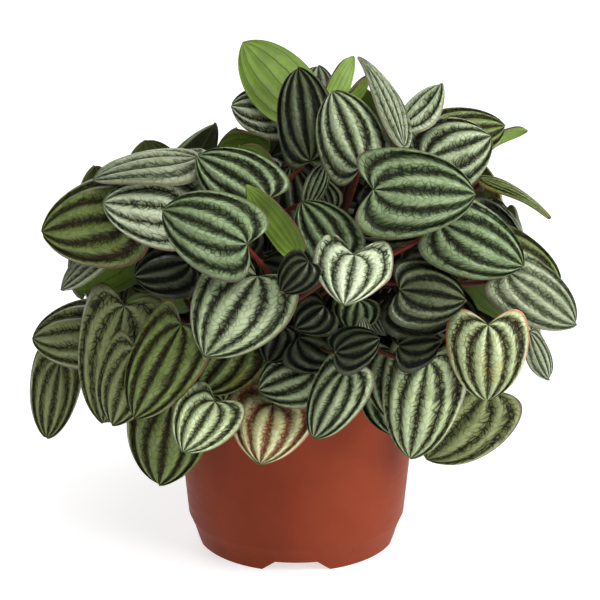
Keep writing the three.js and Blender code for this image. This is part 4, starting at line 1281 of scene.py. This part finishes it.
def make_pot(material):
    """Tapered wall with a stepped foot ring and a rolled rim, turned in one outline."""
    floor_top = FLOOR_Z + WALL
    lip = [(RIM_RADIUS - LIP_ROUND + LIP_ROUND * math.cos(a),
            POT_HEIGHT - LIP_ROUND + LIP_ROUND * math.sin(a))
           for a in np.linspace(0, math.pi / 2, 5)]
    outline = [
        (POLE, FLOOR_Z),
        (FOOT_RADIUS - 2 * WALL, FLOOR_Z),
        (FOOT_RADIUS - 2 * WALL, 0),
        (FOOT_RADIUS, 0),
        (FOOT_TOP_RADIUS, FOOT_RING_HEIGHT),
        (SHOULDER_RADIUS - 0.5, SHOULDER_HEIGHT - 1),
        (SHOULDER_RADIUS, SHOULDER_HEIGHT),
        *((wall_radius(z), z) for z in WALL_BANDS),
        (wall_radius(RIM_BOTTOM), RIM_BOTTOM),
        (RIM_RADIUS - 0.4, RIM_BOTTOM),
        (RIM_RADIUS, RIM_BOTTOM + 1.2),
        *lip,
        (RIM_RADIUS - 2 * WALL, POT_HEIGHT),
        (wall_radius(RIM_BOTTOM) - WALL, RIM_BOTTOM - 2),
        (SHOULDER_RADIUS - WALL, SHOULDER_HEIGHT),
        (FOOT_TOP_RADIUS - WALL, floor_top),
        (POLE, floor_top),
    ]
    pot = turned("nursery_pot", outline, POT_SIDES, material)
    cutters = notch_cutters()
    apply_modifier(pot, "openings", "BOOLEAN", operation="DIFFERENCE", solver="EXACT", object=cutters)
    bpy.data.objects.remove(cutters)
    apply_modifier(pot, "soft_edges", "BEVEL", width=SOFT_EDGE * MM, segments=3,
                   limit_method="ANGLE", angle_limit=math.radians(24), harden_normals=False)
    alone(pot)
    bpy.ops.object.shade_smooth_by_angle(angle=math.radians(35))
    return pot


CRUMBS = 260
CRUMB_RADIUS = (0.7, 2.6)
CRUMB_REACH = 57                    # from the middle
CRUMB_FLATNESS = 0.6                # height over length
SOIL_RADIUS = 60


def make_crumbs(material):
    """Clods and chips of bark that lie on the soil, copied from one rough lump."""
    bpy.ops.object.select_all(action="DESELECT")
    bpy.ops.mesh.primitive_ico_sphere_add(subdivisions=2, radius=1)
    lump = named("crumb", material)
    for vertex in lump.data.vertices:
        vertex.co *= 0.8 + 0.4 * drawn(vertex.index, 31)
    crumbs = [lump]
    for i in range(CRUMBS):
        crumb = lump.copy()
        crumb.data = lump.data.copy()
        bpy.context.collection.objects.link(crumb)
        turn, r = 2 * math.pi * drawn(i, 32), CRUMB_REACH * math.sqrt(drawn(i, 33))
        size = mix(*CRUMB_RADIUS, drawn(i, 34) ** 2)
        top = SOIL_TOP + SOIL_CROWN * (1 - r / SOIL_RADIUS)
        crumb.location = (r * math.cos(turn) * MM, r * math.sin(turn) * MM, top * MM)
        crumb.rotation_euler = (6 * drawn(i, 35), 6 * drawn(i, 36), 6 * drawn(i, 37))
        breadth = mix(CRUMB_FLATNESS, 1, drawn(i, 38))
        crumb.scale = (size * MM, size * MM * breadth, size * MM * CRUMB_FLATNESS)
        crumbs.append(crumb)
    lump.location = (0, 0, (SOIL_TOP + SOIL_CROWN) * MM)
    lump.scale = (MM, MM, MM)
    pile = join(crumbs, "soil_crumbs")
    settle_in_place(pile)
    bpy.ops.object.shade_smooth()
    return pile


# ---- The plant ----------------------------------------------------------------------------

stems = stem_places()
leaves = FRONT_LEAVES + back_leaves()
for index, row in enumerate(leaves):
    row.index = index
    row.phase = 2 * math.pi * drawn(index, 8)
settle(leaves)
share_out(leaves, stems)
follow_part(leaves, stems)
inner = inner_leaves(leaves, stems)

veins = vein_group()
uppers = {name: upper_finish(name, veins) for name in TONES}
bright_under = under_finish("leaf_under", UNDER_FACE, veins)
dark_under = under_finish("leaf_under_dark", UNDER_DARK, veins)
margin = margin_finish()
# The last colour of each stalk finish is painted shade, towards the plant's middle.
red_stalk = stalk_finish("stalk", srgb(98, 36, 28), srgb(76, 43, 28), srgb(34, 24, 15))
# The inner stalks are darker than the red ones: painted shade, for the inside of the foliage.
painted_shade_stalk = stalk_finish("inner_stalk", srgb(66, 44, 26), srgb(60, 58, 30), srgb(40, 32, 18))

for row in leaves:
    under = bright_under if row.under else dark_under
    grid = FINE_GRID if row.wide >= FINE_WIDTH else PLAIN_GRID
    blade = grow_blade(f"leaf_{row.index + 1}", row, grid, (uppers[row.tone], under, margin))
    hand_over(blade, "foliage", f"leafy_stem_{row.stem + 1}")

for i, place in enumerate(stems):
    number = i + 1
    own = [row.stalk for row in leaves if row.stem == i]
    stalks = draw_stalks(f"stalks_{number}", own, STALK_RADII, red_stalk)
    stem = stem_piece(f"stem_{number}", place, red_stalk)
    hand_over(join([stalks, stem], f"stem_and_stalks_{number}"), "foliage",
              f"leafy_stem_{number}")
    few = [row for row in inner if row.stem == i]
    if few:
        blades = [grow_blade(f"inner_leaf_{row.index}", row, FILLER_GRID,
                             (uppers[row.tone], dark_under, margin)) for row in few]
        thin = draw_stalks(f"inner_stalks_{number}", [row.stalk for row in few], THIN_RADII,
                           painted_shade_stalk)
        hand_over(join(blades, f"inner_leaves_{number}"), "foliage")
        hand_over(thin, "foliage")

pot = make_pot(pot_finish())
hand_over(pot, "terracotta_plastic", "pot")
soil_look = soil_finish()
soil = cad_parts["soil"]
soil.data.materials.clear()
soil.data.materials.append(soil_look)
hand_over(make_crumbs(soil_look), "soil")


# ---- Floor, light and camera; metres ------------------------------------------------------

FLOOR_SIZE = 8
FLOOR_GLOW = 0.66
WORLD_GLOW = 0.2
PLANT_MIDDLE = (0, 0, 0.12)
POT_MIDDLE = (0, 0, 0.05)
SOFTBOXES = [                       # where each stands, how wide and strong, and where it points
    ("key", (1.9, -0.9, 1.2), 1.9, 64, PLANT_MIDDLE),
    ("top", (0.1, -0.7, 1.9), 1.5, 24, PLANT_MIDDLE),
    ("side", (1.7, -0.35, 0.3), 0.8, 6, POT_MIDDLE),
    ("fill", (-1.6, -0.9, 0.9), 1.4, 3, PLANT_MIDDLE),
    ("back", (-0.7, 1.9, 1.3), 1.4, 20, PLANT_MIDDLE),
]
SENSOR_WIDTH = 36                   # millimetres
CLIP_END = 20


def make_floor():
    bpy.ops.object.select_all(action="DESELECT")
    bpy.ops.mesh.primitive_plane_add(size=FLOOR_SIZE, location=(0, 0, 0))
    material, _, shader = finish_of("pale_floor", 0.8)
    feed(shader, {"Base Color": srgb(196, 196, 196), "Emission Color": srgb(255, 255, 255),
                  "Emission Strength": FLOOR_GLOW})
    named("floor", material)


def looking(way):
    """The turn of a lamp or camera that looks that way."""
    return Vector(way).to_track_quat("-Z", "Y").to_euler()


def add_softbox(name, place, size, power, target):
    bpy.ops.object.light_add(type="AREA", location=place)
    lamp = bpy.context.object
    lamp.name = name
    lamp.data.shape = "DISK"
    lamp.data.size = size
    lamp.data.energy = power
    lamp.rotation_euler = looking(Vector(target) - Vector(place))


make_floor()
for softbox in SOFTBOXES:
    add_softbox(*softbox)
world = bpy.context.scene.world or bpy.data.worlds.new("studio")
bpy.context.scene.world = world
world.use_nodes = True
background = world.node_tree.nodes["Background"]
background.inputs["Color"].default_value = (1, 1, 1, 1)
background.inputs["Strength"].default_value = WORLD_GLOW
bpy.context.scene.view_settings.view_transform = "Standard"

bpy.ops.object.camera_add(location=Vector((AIM + TO_VIEWER * VIEW_DISTANCE) * MM))
camera = bpy.context.object
camera.rotation_euler = looking(-TO_VIEWER)
camera.data.sensor_width = SENSOR_WIDTH
camera.data.lens = SENSOR_WIDTH * VIEW_DISTANCE / (PICTURE_WIDTH * MM_PER_PIXEL)
camera.data.clip_end = CLIP_END
bpy.context.scene.camera = camera
